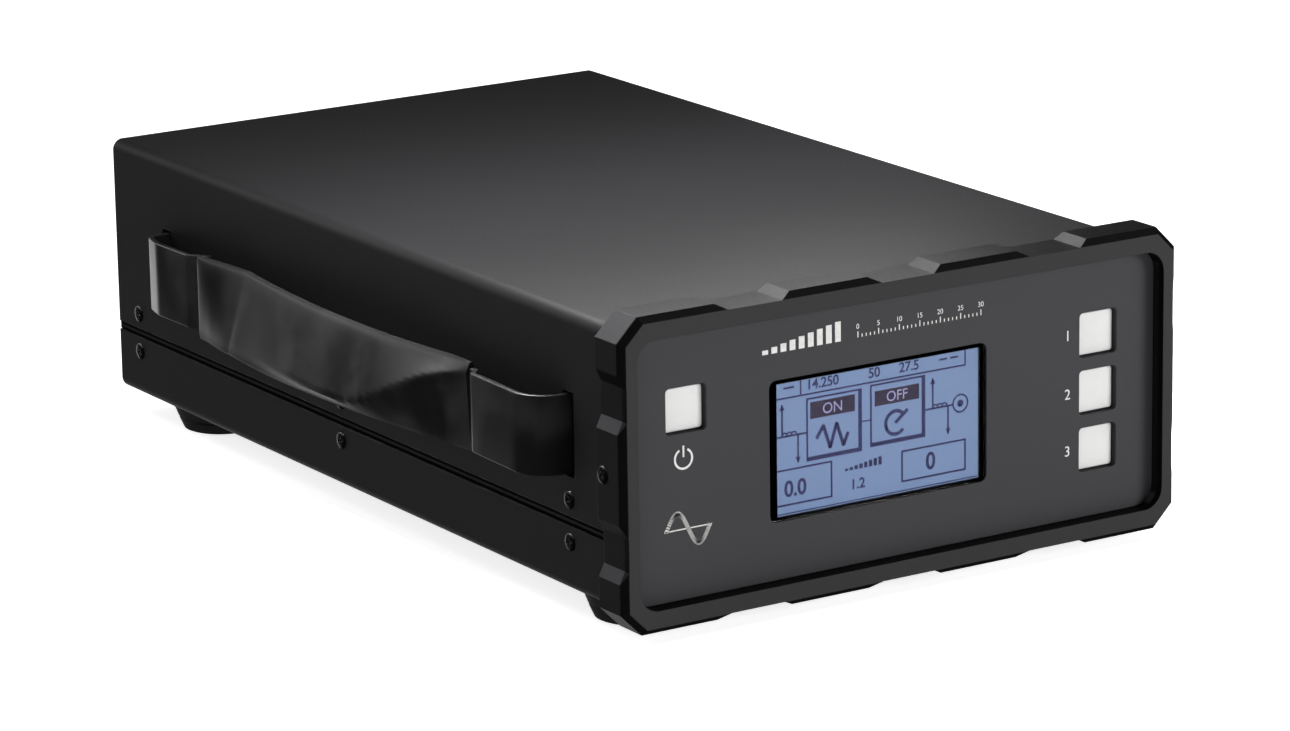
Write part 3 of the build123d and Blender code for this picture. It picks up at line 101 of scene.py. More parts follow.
def operation(name, swapped=False):
    """Method that adds a Math node for a signal and what it is combined with."""

    def combine(self, other):
        sides = (other, self) if swapped else (self, other)
        return self.graph.math(name, *sides)

    return combine


class Signal:
    """A node's output that takes part in arithmetic: each operation adds its Math node."""

    __add__ = operation("ADD")
    __radd__ = operation("ADD", swapped=True)
    __sub__ = operation("SUBTRACT")
    __rsub__ = operation("SUBTRACT", swapped=True)
    __mul__ = operation("MULTIPLY")
    __truediv__ = operation("DIVIDE")
    __pow__ = operation("POWER")

    def __init__(self, graph, socket):
        self.graph = graph
        self.socket = socket

    def within(self, low, high):
        """0 at or below low and 1 at or above high, with a smooth step between them."""
        settings = {"interpolation_type": "SMOOTHSTEP"}
        return self.graph.node("ShaderNodeMapRange", settings, {0: self, 1: low, 2: high})


class Graph:
    """A node tree that is filled one node at a time."""

    def __init__(self, tree):
        self.tree = tree

    def node(self, kind, settings=None, inputs=None, output=0):
        """Adds a node: its settings come first, then the values or links of its sockets."""
        made = self.tree.nodes.new(kind)
        for name, value in (settings or {}).items():
            setattr(made, name, value)
        for name, value in (inputs or {}).items():
            self.feed(made.inputs[name], value)
        return Signal(self, made.outputs[output])

    def feed(self, socket, value):
        """Gives a socket its value, or links it where the value is another node's output."""
        if isinstance(value, Signal):
            self.tree.links.new(value.socket, socket)
        else:
            socket.default_value = value

    def math(self, operation, *values):
        return self.node("ShaderNodeMath", {"operation": operation}, dict(enumerate(values)))

    def dot(self, first, second):
        """How much two directions agree, from -1 to 1."""
        settings = {"operation": "DOT_PRODUCT"}
        return self.node("ShaderNodeVectorMath", settings, {0: first, 1: second}, "Value")


class Finish(Graph):
    """A material around one Principled shader, with what its patterns are made of."""

    def __init__(self, name, colour, roughness, metallic=0.0, specular=0.5):
        self.material = bpy.data.materials.new(name)
        self.material.use_nodes = True
        super().__init__(self.material.node_tree)
        self.shader = self.tree.nodes["Principled BSDF"]
        self.set("Base Color", opaque(colour))
        self.set("Roughness", roughness)
        self.set("Metallic", metallic)
        self.set("Specular IOR Level", specular)

    def set(self, name, value):
        self.feed(self.shader.inputs[name], value)

    def glow(self, colour, strength):
        """Light that the material gives off."""
        self.set("Emission Color", colour if isinstance(colour, Signal) else opaque(colour))
        self.set("Emission Strength", strength)

    def place(self, scale=(1, 1, 1)):
        """Object coordinates in metres, stretched by scale."""
        spot = self.node("ShaderNodeTexCoord", output="Object")
        if tuple(scale) == (1, 1, 1):
            return spot
        return self.node("ShaderNodeMapping", None, {"Vector": spot, "Scale": scale})

    def true_normal(self):
        """The way the flat face looks."""
        return self.node("ShaderNodeNewGeometry", output="True Normal")

    def coordinate(self, axis):
        """One coordinate of the place on the piece, in metres."""
        return self.node("ShaderNodeSeparateXYZ", None, {0: self.place()}, axis)

    def facing(self, axis):
        """How much the face looks along an axis, from -1 to 1."""
        return self.node("ShaderNodeSeparateXYZ", None, {0: self.true_normal()}, axis)

    def noise(self, scale, detail=2.0, roughness=0.5, stretch=(1, 1, 1)):
        """Noise from 0 to 1 with scale features to the metre."""
        inputs = {"Vector": self.place(stretch), "Scale": scale, "Detail": detail, "Roughness": roughness}
        return self.node("ShaderNodeTexNoise", None, inputs)

    def cells(self, scale, feature="F1"):
        """Distance in a field of cells, with scale cells to the metre."""
        inputs = {"Vector": self.place(), "Scale": scale}
        return self.node("ShaderNodeTexVoronoi", {"feature": feature}, inputs, "Distance")

    def mix(self, first, second, factor):
        """Colour between first and second."""
        sides = [c if isinstance(c, Signal) else opaque(c) for c in (first, second)]
        inputs = {0: factor, 6: sides[0], 7: sides[1]}
        return self.node("ShaderNodeMix", {"data_type": "RGBA"}, inputs, 2)

    def rounded(self, radius):
        """Normal that rounds every edge by radius, in metres."""
        return self.node("ShaderNodeBevel", {"samples": 4}, {"Radius": radius})

    def edges(self, radius):
        """1 along sharp edges and 0 on open faces."""
        return (1 - self.dot(self.rounded(radius), self.true_normal())).within(0.02, 0.25)

    def bump(self, height, strength, distance, normal=None):
        """Normal of a relief whose height runs from 0 to distance, in metres."""
        inputs = {"Height": height, "Strength": strength, "Distance": distance}
        if normal is not None:
            inputs["Normal"] = normal
        return self.node("ShaderNodeBump", None, inputs)


# -------- sizes and colours


def colour_property(name, description, code):
    kind = {"subtype": "COLOR", "size": 3, "min": 0, "max": 1}
    return FloatVectorProperty(name=name, description=description, default=tone(code), **kind)


def length_property(name, description, millimetres):
    kind = {"subtype": "DISTANCE", "unit": "LENGTH"}
    return FloatProperty(name=name, description=description, min=0, default=millimetres * MM, **kind)


def power_property(name, description, watts):
    return FloatProperty(name=name, description=description, unit="POWER", min=0, default=watts)


def strength_property(name, description, strength):
    return FloatProperty(name=name, description=description, min=0, default=strength)


class AmplifierColours(bpy.types.PropertyGroup):
    cover: colour_property("Cover", "Powder coat of the cover, pan and rear panel", "1b1b1c")
    bezel: colour_property("Bezel", "Bevels and top of the cast front bezel", "0a0a0a")
    # Painted light: the bezel's sides, painted lighter than its black for the light they catch.
    lit_flank: colour_property("Bezel flank", "Sides of the bezel", "171718")
    # Painted light: the bezel's front rim, painted near the panel's tone for the light from the front.
    rim: colour_property("Bezel rim", "Front rim of the bezel", "313132")
    panel: colour_property("Panel", "Paint of the control panel", "38383a")
    markings: colour_property("Markings", "Printed markings on the panel", "c9c9c7")
    keys: colour_property("Keys", "Moulded key caps", "c8c8c7")
    display: colour_property("Display", "Lit field of the display", "6f86ad")
    ink: colour_property("Display ink", "Dark segments of the display", "242450")
    vinyl: colour_property("Vinyl", "Strap and grip", "0c0c0d")
    rubber: colour_property("Rubber", "Feet", "141415")


class AmplifierSizes(bpy.types.PropertyGroup):
    marking_depth: length_property("Marking depth", "Thickness of the printed markings", 0.03)
    marking_line: length_property("Marking line", "Width of the finest printed line", 0.3)
    crease_lift: length_property("Crease lift", "How far the grip's crease stands proud", 1.1)
    edge_softness: length_property("Edge softness", "Rounding of the painted edges", 0.35)
    guard_wire: length_property("Guard wire", "Thickness of the fan guard's wire", 1.6)
    grip_turn: FloatProperty(
        name="Grip turn",
        description="Lean of the grip at its rear end",
        subtype="ANGLE",
        default=radians(15),
    )


class AmplifierStudio(bpy.types.PropertyGroup):
    sheet_power: power_property("Sheet power", "Light from overhead", 110)
    top_power: power_property("Top power", "Strip just above the cover", 0.75)
    side_power: power_property("Side power", "Small light up on the left", 0.6)
    rim_power: power_property("Rim power", "Light from behind on the left", 8)
    fill_power: power_property("Fill power", "Light on the panel", 14)
    around: strength_property("Surroundings", "Light from all around", 0.02)
    glow: strength_property("Rear glow", "Glow of the paper behind, in reflections", 1.6)
    lens: FloatProperty(name="Lens", description="Focal length", unit="CAMERA", default=152.04)


def colours():
    return bpy.context.scene.amplifier_colours


def sizes():
    return bpy.context.scene.amplifier_sizes


# -------- finishes


def shade(colour, factor, lift=0.0):
    """A colour made lighter or darker: times factor, plus lift."""
    return [lift + factor * c for c in colour[:3]]


def powder_coat(name, colour):
    """Satin powder coat: orange peel, faint drift of the gloss, and edges rubbed brighter."""
    roughness = 0.5
    coat = Finish(name, colour, roughness, specular=0.05)
    peel = coat.noise(1500, 3)
    drift = coat.noise(22, 3)
    worn = coat.edges(0.0007) * coat.noise(160, 4).within(0.35, 0.75)
    speckles = coat.noise(2600, 1).within(0.5, 0.75) * 0.6
    speckled = coat.mix(colour, shade(colour, 1.35), speckles)
    coat.set("Base Color", coat.mix(speckled, shade(colour, 1.5, 0.06), worn * 0.5))
    coat.set("Roughness", roughness + (peel - 0.5) * 0.15 + (drift - 0.5) * 0.1)
    coat.set("Normal", coat.bump(peel, 0.2, 0.00004, coat.rounded(sizes().edge_softness)))
    return coat


def satin_paint(name, colour, roughness=0.42, specular=0.1):
    """Smooth satin paint over a casting or plate."""
    paint = Finish(name, colour, roughness, specular=specular)
    peel = paint.noise(900, 2)
    worn = paint.edges(0.0005) * paint.noise(240, 4).within(0.5, 0.8)
    paint.set("Base Color", paint.mix(colour, shade(colour, 1.4, 0.04), worn * 0.3))
    paint.set("Roughness", roughness + (peel - 0.5) * 0.12 + (paint.noise(30, 2) - 0.5) * 0.08)
    paint.set("Normal", paint.bump(peel, 0.12, 0.00004, paint.rounded(sizes().edge_softness)))
    return paint


def bezel_finish(name):
    """One black paint in lit copies, by which way each face looks: painted light on the front rim,
    near the panel's tone, black bevels behind it, then flanks painted a little lighter again.

    A painted highlight makes the chamfers between flank and top lighter still, and faces that
    look down stay black.
    """
    paint = satin_paint(name, colours().bezel, specular=0.035)
    depth = (paint.coordinate("Y") - case_origin.y) / MM
    up = paint.facing("Z")
    past_rim, past_bevel = depth.within(0.05, 0.1), depth.within(1.9, 2.2)
    # Painted light on the flanks, and a painted highlight on the chamfers, which take a lighter copy
    # still.
    slope_highlight = up.within(0.3, 0.5) * (1 - up.within(0.8, 0.95))
    sides = paint.mix(colours().lit_flank, shade(colours().lit_flank, 4.6), slope_highlight)
    upright = 1 - paint.math("ABSOLUTE", up).within(0.75, 0.95) - (0 - up).within(0.3, 0.5)
    behind = paint.mix(colours().bezel, sides, past_bevel * upright.within(0, 1))
    # Painted light on the front rim: a lighter copy of the bezel's black, as though lit from the front.
    paint.set("Base Color", paint.mix(colours().rim, behind, past_rim))
    return paint


def seam_rail(name):
    """Rail whose rib shows in the case's seam: painted as the cover, with painted shade at the rib's two
    edges.
    """
    rail = satin_paint(name, colours().cover, 0.6, specular=0.01)
    low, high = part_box("bottom_pan")[1].z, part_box("top_cover")[0].z
    off_middle = rail.math("ABSOLUTE", rail.coordinate("Z") - (low + high) / 2) / ((high - low) / 2)
    # Painted shade: near-black bands along the rib's edges, beside the seam's gaps.
    seam_shade = off_middle.within(0.2, 0.35)
    rail.set("Base Color", rail.mix(colours().cover, (0.001, 0.001, 0.001), seam_shade))
    return rail


def moulded(name, colour, roughness=0.45, grain=0.15):
    """Moulded plastic with a fine spark-eroded grain."""
    plastic = Finish(name, colour, roughness, specular=0.4)
    grain_field = plastic.noise(2200, 2)
    cloud = plastic.noise(70, 2)
    plastic.set("Base Color", plastic.mix(colour, shade(colour, 0.85), cloud.within(0.35, 0.8) * 0.5))
    plastic.set("Roughness", roughness + (grain_field - 0.5) * 0.15)
    plastic.set("Normal", plastic.bump(grain_field, grain, 0.00003, plastic.rounded(FINE_EDGE)))
    return plastic


def rubbery(name, colour, roughness=0.75):
    """Matte rubber with a dusty bloom."""
    rubber = Finish(name, colour, roughness, specular=0.3)
    grain = rubber.noise(1800, 4, 0.6)
    bloom = rubber.noise(60, 3).within(0.45, 0.8)
    rubber.set("Base Color", rubber.mix(colour, shade(colour, 1.2, 0.03), bloom * 0.4))
    rubber.set("Roughness", roughness - bloom * 0.1)
    rubber.set("Normal", rubber.bump(grain, 0.35, 0.00006))
    return rubber


def bare_metal(name, colour, roughness=0.3, relief=0.1, brushed=(1, 1, 1)):
    """Bare or plated metal, with brushing lines where the pattern is stretched."""
    metal = Finish(name, colour, roughness, metallic=1.0)
    lines = metal.noise(1400, 3, 0.6, brushed)
    stain = metal.noise(45, 3).within(0.4, 0.8)
    metal.set("Base Color", metal.mix(colour, shade(colour, 0.78), stain * 0.6))
    metal.set("Roughness", roughness + (lines - 0.5) * 0.2 + stain * 0.08)
    metal.set("Normal", metal.bump(lines, relief, 0.00003, metal.rounded(FINE_EDGE)))
    return metal


def vinyl_finish(name):
    """Glossy black vinyl: pebbled grain, rubbed patches, and rims that hold less gloss."""
    colour = colours().vinyl
    vinyl = Finish(name, colour, 0.3, specular=0.35)
    pebbles = vinyl.cells(1100, "SMOOTH_F1")
    rubbed = vinyl.noise(55, 3).within(0.4, 0.75)
    vinyl.set("Base Color", vinyl.mix(colour, shade(colour, 1.3, 0.02), rubbed * 0.5))
    rim = vinyl.node("ShaderNodeAttribute", {"attribute_name": "rim"}, output="Fac")
    vinyl.set("Roughness", 0.29 + rubbed * 0.07 + pebbles * 0.06 + rim * 0.7)
    soft = vinyl.bump(vinyl.noise(70, 2), 0.12, 0.0005)
    vinyl.set("Normal", vinyl.bump(pebbles, 0.07, 0.00006, soft))
    vinyl.set("Coat Weight", 0.1)
    vinyl.set("Coat Roughness", 0.2)
    return vinyl


def display_cell(name):
    """Lit field of the display, brighter in its middle, with a faint grid of picture elements."""
    colour = colours().display
    cell = Finish(name, shade(colour, 0.1), 0.25, specular=0.3)
    across, up = cell.coordinate("X"), cell.coordinate("Z")
    half = DISPLAY_PITCH / 2
    gaps = [(cell.math("PINGPONG", way, half) / half).within(0.02, 0.2) for way in (across, up)]
    dim = cell.mix(shade(colour, 0.93), colour, cell.math("MINIMUM", *gaps))
    middle = at(*DISPLAY_MIDDLE)
    fade = ((across - middle.x) / 0.05) ** 2 + ((up - middle.z) / 0.035) ** 2
    cell.glow(cell.mix(dim, shade(colour, 0.8), fade.within(0.2, 1.2)), 0.88)
    return cell


def clear_window(name):
    """Clear acrylic with a few faint smears."""
    clear = Finish(name, (0.97, 0.98, 1.0), 0.03, specular=0.4)
    smear = clear.noise(40, 4).within(0.45, 0.8)
    clear.set("Roughness", smear * 0.01)
    clear.set("Transmission Weight", 1.0)
    clear.set("IOR", 1.18)
    return clear


def circuit_board(name):
    """Green solder mask over copper tracks, with pads."""
    mask = Finish(name, (0.02, 0.13, 0.06), 0.3)
    tracks = mask.cells(260, "DISTANCE_TO_EDGE").within(0.02, 0.05)
    pads = mask.cells(330).within(0.12, 0.16)
    green = mask.mix((0.01, 0.08, 0.035), (0.03, 0.2, 0.09), tracks)
    mask.set("Base Color", mask.mix((0.6, 0.58, 0.55), green, pads))
    mask.set("Metallic", 1 - pads)
    mask.set("Roughness", 0.28 + mask.noise(400, 2) * 0.12)
    mask.set("Normal", mask.bump(tracks, 0.3, 0.00005, mask.rounded(FINE_EDGE)))
    return mask


def ribbon_finish(name):
    """Flat cable: grey wires side by side, with painted shade in the grooves between them."""
    cable = Finish(name, (0.4, 0.4, 0.42), 0.5)
    waves = cable.math("PINGPONG", cable.coordinate("X"), WIRE_PITCH / 2) / (WIRE_PITCH / 2)
    # Painted shade: darker grey where the bump's grooves between the wires lie.
    cable.set("Base Color", cable.mix((0.25, 0.25, 0.27), (0.5, 0.5, 0.52), waves))
    cable.set("Normal", cable.bump(waves, 0.8, 0.0003))
    return cable


def lit_plastic(name):
    """Pale light guide behind the display, faintly lit."""
    guide = moulded(name, (0.8, 0.86, 0.95), 0.5)
    guide.glow((0.5, 0.6, 0.9), 0.2)
    return guide


def ink_finish(name, colour, lit=0.0):
    """Flat ink or paint of a marking, a little uneven."""
    ink = Finish(name, colour, 0.6, specular=0.2)
    uneven = ink.noise(900, 3)
    tint = ink.mix(colour, shade(colour, 0.82), uneven.within(0.4, 0.8))
    ink.set("Base Color", tint)
    ink.set("Roughness", 0.5 + uneven * 0.2)
    if lit:
        ink.glow(tint, lit)
    return ink


# Each slot: the maker of its finish, then that maker's values, where a word stands for the
# colour of that name in the sidebar.
RECIPES = {
    "cover_paint": (powder_coat, "cover"),
    "bezel_paint": (bezel_finish,),
    "panel_paint": (satin_paint, "panel", 0.5),
    "rail_metal": (seam_rail,),
    "black_screws": (bare_metal, (0.07, 0.07, 0.075), 0.26),
    "foot_rubber": (rubbery, "rubber"),
    "sheet_steel": (bare_metal, (0.5, 0.51, 0.53), 0.35, 0.1, (1, 0.05, 1)),
    # Painted light: the display frame is painted lighter than the panel's grey to make up for the shade in
    # its recess.
    "display_black": (satin_paint, tone("525251"), 0.5),
    "clear_window": (clear_window,),
    "display_cell": (display_cell,),
    "backlight_plastic": (lit_plastic,),
    "board": (circuit_board,),
    "black_plastic": (moulded, (0.02, 0.02, 0.021)),
    "key_caps": (moulded, "keys", 0.5, 0.3),
    "strap_vinyl": (vinyl_finish,),
    "wire_chrome": (bare_metal, (0.75, 0.75, 0.77), 0.12, 0.03),
    "plated_screws": (bare_metal, (0.6, 0.6, 0.62), 0.28),
    "nickel": (bare_metal, (0.68, 0.66, 0.62), 0.22),
    "insulator": (moulded, (0.85, 0.84, 0.8), 0.4),
    "contact_brass": (bare_metal, (0.75, 0.55, 0.25), 0.25),
    "sink_aluminium": (bare_metal, (0.55, 0.56, 0.58), 0.4, 0.1, (1, 0.03, 1)),
    "ferrite": (rubbery, (0.03, 0.03, 0.032), 0.6),
    "coil_copper": (bare_metal, (0.5, 0.2, 0.08), 0.3),
    "cable_jacket": (rubbery, (0.02, 0.02, 0.022), 0.5),
    "ribbon": (ribbon_finish,),
    "panel_markings": (ink_finish, "markings"),
    "display_ink": (ink_finish, "ink", 0.25),
    "display_bars": (ink_finish, (0.02, 0.012, 0.035), 0.2),
    "display_light": (ink_finish, (0.2, 0.19, 0.32), 0.6),
}


def finish(slot):
    """Material for a slot, made on first use."""
    name = slot + "_finish"
    if name not in bpy.data.materials:
        recipe, *values = RECIPES[slot]
        recipe(name, *[getattr(colours(), v) if isinstance(v, str) else v for v in values])
    return bpy.data.materials[name]


# -------- mesh helpers


def closed_mesh(name, form):
    """Mesh of a bmesh whose faces are turned outward."""
    bmesh.ops.remove_doubles(form, verts=form.verts, dist=SAME_PLACE)
    bmesh.ops.recalc_face_normals(form, faces=form.faces)
    mesh = bpy.data.meshes.new(name)
    form.to_mesh(mesh)
    form.free()
    return mesh


def closed_object(name, form, slot):
    """Object of a bmesh with a slot's finish, smooth except at sharp corners."""
    mesh = closed_mesh(name, form)
    mesh.materials.append(finish(slot))
    mesh.polygons.foreach_set("use_smooth", [True] * len(mesh.polygons))
    mesh.set_sharp_from_angle(angle=SHARP_ANGLE)
    made = bpy.data.objects.new(name, mesh)
    bpy.context.scene.collection.objects.link(made)
    return made


def settle(made, slot, body="case", stands_for=()):
    """Ties a finished piece to its body, and hides the CAD nodes that it stands for."""
    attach(made, body)
    if stands_for:
        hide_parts(*stands_for)


def add_piece(name, form, slot, **ties):
    """Makes a piece of a bmesh and ties it."""
    settle(closed_object(name, form, slot), slot, **ties)


def full_circle(steps):
    """Angles of a full turn in equal steps."""
    return [2 * pi * n / steps for n in range(steps)]


def loft(form, rings, closed=False):
    """Skins rings of equally many points, with caps at both ends unless it closes on itself."""
    rows = [[form.verts.new(p) for p in ring] for ring in rings]
    following = rows[1:] + rows[:1] if closed else rows[1:]
    for row, after in zip(rows, following):
        for n in range(len(row)):
            m = (n + 1) % len(row)
            form.faces.new((row[n], row[m], after[m], after[n]))
    if not closed:
        form.faces.new(rows[0][::-1])
        form.faces.new(rows[-1])
    return form


def lathe(form, profile, centre, axis):
    """Turns a profile of radius and height, in millimetres, about an axis through centre."""
    turn = Vector((0, 0, 1)).rotation_difference(Vector(axis)).to_matrix()
    rings = []
    for radius, height in profile:
        spots = [Vector((radius * cos(a), radius * sin(a), height)) * MM for a in full_circle(LATHE_STEPS)]
        rings.append([centre + turn @ spot for spot in spots])
    return loft(form, rings)


def rounded_line(points, radii):
    """Line through points, with an arc of the given radius at each inner corner."""
    line = [points[0]]
    for before, corner, after, radius in zip(points, points[1:], points[2:], radii):
        back = (before - corner).normalized()
        on = (after - corner).normalized()
        half = back.angle(on) / 2
        centre = corner + (back + on).normalized() * (radius / sin(half))
        start = corner + back * (radius / tan(half)) - centre
        end = corner + on * (radius / tan(half)) - centre
        line += [centre + start.slerp(end, n / CORNER_STEPS) * radius for n in range(CORNER_STEPS + 1)]
    return line + [points[-1]]


def divided(line, step):
    """The same line with points no further apart than step."""
    out = [line[0]]
    for a, b in zip(line, line[1:]):
        count = max(1, round((b - a).length / step))
        out += [a.lerp(b, n / count) for n in range(1, count + 1)]
    return out


def smooth_step(value, low, high):
    """0 at low, 1 at high, with a smooth step between them."""
    share = min(1, max(0, (value - low) / (high - low)))
    return share * share * (3 - 2 * share)


def extent(node):
    """Lowest corner, highest corner and middle of a CAD node."""
    low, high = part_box(node)
    return low, high, (low + high) / 2


def solids_of(node):
    """The separate solids of a CAD node in their order there, each as the places of its corners."""
    form = bmesh.new()
    form.from_mesh(frame["nodes"][node].data)
    bmesh.ops.remove_doubles(form, verts=form.verts, dist=1e-6)
    solids = []
    seen = set()
    for first in form.verts:
        if first in seen:
            continue
        seen.add(first)
        found = [first]
        for corner in found:
            near = [edge.other_vert(corner) for edge in corner.link_edges]
            found += [c for c in near if c not in seen]
            seen.update(near)
        solids.append([corner.co.copy() for corner in found])
    form.free()
    return solids


class Fastener:
    """Seat, direction and sizes of one headed fastener, read from its solid's corners."""

    def __init__(self, corners, axis):
        axis = Vector(axis)
        low = Vector([min(c[n] for c in corners) for n in range(3)])
        high = Vector([max(c[n] for c in corners) for n in range(3)])
        middle = (low + high) / 2
        level = [(c - middle).dot(axis) for c in corners]
        reach = [(c - middle - axis * t).length for c, t in zip(corners, level)]
        self.head_radius = max(reach)
        head = [t for t, r in zip(level, reach) if r > 0.9 * self.head_radius]
        way = 1 if sum(head) > 0 else -1
        self.facing = axis * way
        near, far = sorted((abs(min(head)), abs(max(head))))
        self.head_height = far - near
        self.shank_length = near + max(abs(t) for t in level)
        self.shank_radius = max(r for t, r in zip(level, reach) if t * way < near - SAME_LEVEL)
        self.seat = middle + self.facing * near


# -------- geometry nodes


def new_tree(name, inputs):
    """Geometry Nodes tree with named inputs; gives its graph and the inputs' signals."""
    tree = bpy.data.node_groups.new(name, "GeometryNodeTree")
    tree.interface.new_socket("Result", in_out="OUTPUT", socket_type="NodeSocketGeometry")
    for label, kind in inputs:
        tree.interface.new_socket(label, in_out="INPUT", socket_type="NodeSocket" + kind)
    graph = Graph(tree)
    incoming = tree.nodes.new("NodeGroupInput")
    return graph, {label: Signal(graph, incoming.outputs[label]) for label, kind in inputs}


def close_tree(graph, result, material):
    """Ends a tree: instances become real and take the finish."""
    real = graph.node("GeometryNodeRealizeInstances", None, {"Geometry": result})
    painted = graph.node("GeometryNodeSetMaterial", None, {"Geometry": real, "Material": material})
    outgoing = graph.tree.nodes.new("NodeGroupOutput")
    graph.feed(outgoing.inputs["Result"], painted)


def seat_turn(graph):
    """Rotation that brings Z to a seat's direction."""
    stored = {"data_type": "FLOAT_VECTOR"}
    facing = graph.node("GeometryNodeInputNamedAttribute", stored, {"Name": "facing"}, "Attribute")
    return graph.node("FunctionNodeAlignRotationToVector", {"axis": "Z"}, {"Vector": facing})


def instances(graph, points, piece, **more):
    inputs = {"Points": points, "Instance": piece, **more}
    return graph.node("GeometryNodeInstanceOnPoints", None, inputs)


def seats_tree():
    """Sets one piece on every seat, along the seat's direction and turned at random about it."""
    inputs = [("Seats", "Geometry"), ("Piece", "Object"), ("Size", "Float"), ("Turn", "Float")]
    graph, given = new_tree("pieces_on_seats", inputs + [("Seed", "Int"), ("Finish", "Material")])
    piece = graph.node("GeometryNodeObjectInfo", None, {"Object": given["Piece"]}, "Geometry")
    angle = graph.node("FunctionNodeRandomValue", {"data_type": "FLOAT"}, {"Seed": given["Seed"]}, 1)
    about = graph.node("FunctionNodeAxisAngleToRotation", None, {"Angle": angle * given["Turn"]})
    turns = {"Rotation": seat_turn(graph), "Rotate By": about}
    turned = graph.node("FunctionNodeRotateRotation", {"rotation_space": "LOCAL"}, turns)
    placed = instances(graph, given["Seats"], piece, Rotation=turned, Scale=given["Size"])
    close_tree(graph, placed, given["Finish"])
    return graph.tree


def rings_tree():
    """Round wire bent into rings about one axis, each a pitch wider than the one before."""
    inputs = [("Seats", "Geometry"), ("Rings", "Int"), ("First radius", "Float"), ("Pitch", "Float")]
    graph, given = new_tree("wire_rings", inputs + [("Wire radius", "Float"), ("Finish", "Material")])
    line = graph.node("GeometryNodeMeshLine", None, {"Count": given["Rings"], "Offset": (0, 0, 0)})
    order = graph.node("GeometryNodeInputIndex")
    circle = "GeometryNodeCurvePrimitiveCircle"
    unit = graph.node(circle, None, {"Resolution": 72, "Radius": 1.0})
    radius = given["First radius"] + given["Pitch"] * order
    spread = instances(graph, line, unit, Scale=radius)
    rings = graph.node("GeometryNodeRealizeInstances", None, {"Geometry": spread})
    wire = graph.node(circle, None, {"Resolution": 10, "Radius": given["Wire radius"]})
    bent = graph.node("GeometryNodeCurveToMesh", None, {"Curve": rings, "Profile Curve": wire})
    placed = instances(graph, given["Seats"], bent, Rotation=seat_turn(graph))
    close_tree(graph, placed, given["Finish"])
    return graph.tree


def grow(name, tree, seats, values, slot, stands_for):
    """Piece of plain mesh from a tree fed with seats, which are pairs of place and direction."""
    mesh = bpy.data.meshes.new(name)
    mesh.from_pydata([spot for spot, facing in seats], [], [])
    directions = mesh.attributes.new("facing", "FLOAT_VECTOR", "POINT")
    for entry, (spot, facing) in zip(directions.data, seats):
        entry.vector = facing
    carrier = bpy.data.objects.new(name + "_seats", mesh)
    bpy.context.scene.collection.objects.link(carrier)
    modifier = carrier.modifiers.new("growth", "NODES")
    modifier.node_group = tree
    labels = {item.name: item.identifier for item in tree.interface.items_tree}
    for label, value in {**values, "Finish": finish(slot)}.items():
        modifier[labels[label]] = value
    evaluated = carrier.evaluated_get(bpy.context.evaluated_depsgraph_get())
    result = bpy.data.meshes.new_from_object(evaluated)
    carrier.modifiers.remove(modifier)
    bpy.data.objects.remove(carrier)
    bpy.data.node_groups.remove(tree)
    form = bmesh.new()
    form.from_mesh(result)
    bpy.data.meshes.remove(result)
    add_piece(name, form, slot, stands_for=[stands_for])


# -------- flat drawings

DIGIT_SHARE = 0.7  # height of a digit as a share of its letters' size


class Drawing:
    """Flat shapes on an upright face, in millimetres to the right and up."""

    def __init__(self, face, thickness):
        self.form = bmesh.new()
        self.face = face
        self.thickness = thickness

    def shape(self, outline):
        """A shape from its corners, in order."""
        front = [self.form.verts.new(at(x, self.face - self.thickness, z)) for x, z in outline]
        back = [self.form.verts.new(at(x, self.face, z)) for x, z in outline]
        self.form.faces.new(front)
        self.form.faces.new(back[::-1])
        for n in range(len(outline)):
            m = (n + 1) % len(outline)
            self.form.faces.new((front[m], front[n], back[n], back[m]))

    def bar(self, left, right, low, high):
        self.shape([(left, low), (right, low), (right, high), (left, high)])

    def frame(self, left, right, low, high, width, heavy=0.0):
        """Four bars around a field; the right and lower ones are wider by heavy."""
        self.bar(left, right + heavy, high - width, high)
        self.bar(left, right + heavy, low - heavy, low + width)
        self.bar(left, left + width, low + width, high - width)
        self.bar(right - width, right + heavy, low + width, high - width)

    def arc(self, x, z, radius, width, start=0, end=360, steps=24):
        """A band that follows a circle from start to end, in degrees from the right."""
        inner, outer = radius - width / 2, radius + width / 2
        for n in range(steps):
            a, b = (radians(start + (end - start) * k / steps) for k in (n, n + 1))
            corners = ((inner, a), (outer, a), (outer, b), (inner, b))
            self.shape([(x + r * cos(t), z + r * sin(t)) for r, t in corners])

    def stroke(self, points, width):
        """A line of one width through points, with a little overlap at each."""
        for start, end in zip(points, points[1:]):
            along = (Vector(end) - Vector(start)).normalized() * width / 2
            side = Vector((-along.y, along.x))
            start, end = Vector(start) - along * 0.3, Vector(end) + along * 0.3
            self.shape([start + side, start - side, end - side, end + side])

    def text(self, body, x, z, height, align="LEFT", stretch=1.0, weight=0.0):
        """Digits or letters that stand on height z."""
        curve = bpy.data.curves.new("lettering", "FONT")
        curve.body = body
        curve.align_x = align
        curve.size = height * MM / DIGIT_SHARE
        curve.extrude = self.thickness / 2 * MM
        curve.offset = weight * MM
        carrier = bpy.data.objects.new("lettering", curve)
        bpy.context.scene.collection.objects.link(carrier)
        view = bpy.context.evaluated_depsgraph_get()
        mesh = bpy.data.meshes.new_from_object(carrier.evaluated_get(view))
        bpy.data.objects.remove(carrier)
        upright = Matrix.Rotation(radians(90), 4, "X") @ Matrix.Diagonal((stretch, 1, 1, 1))
        mesh.transform(Matrix.Translation(at(x, self.face - self.thickness / 2, z)) @ upright)
        self.form.from_mesh(mesh)
        bpy.data.meshes.remove(mesh)

    def finish(self, name, material, slot):
        settle(closed_object(name, self.form, material), slot)


# -------- CAD finishes


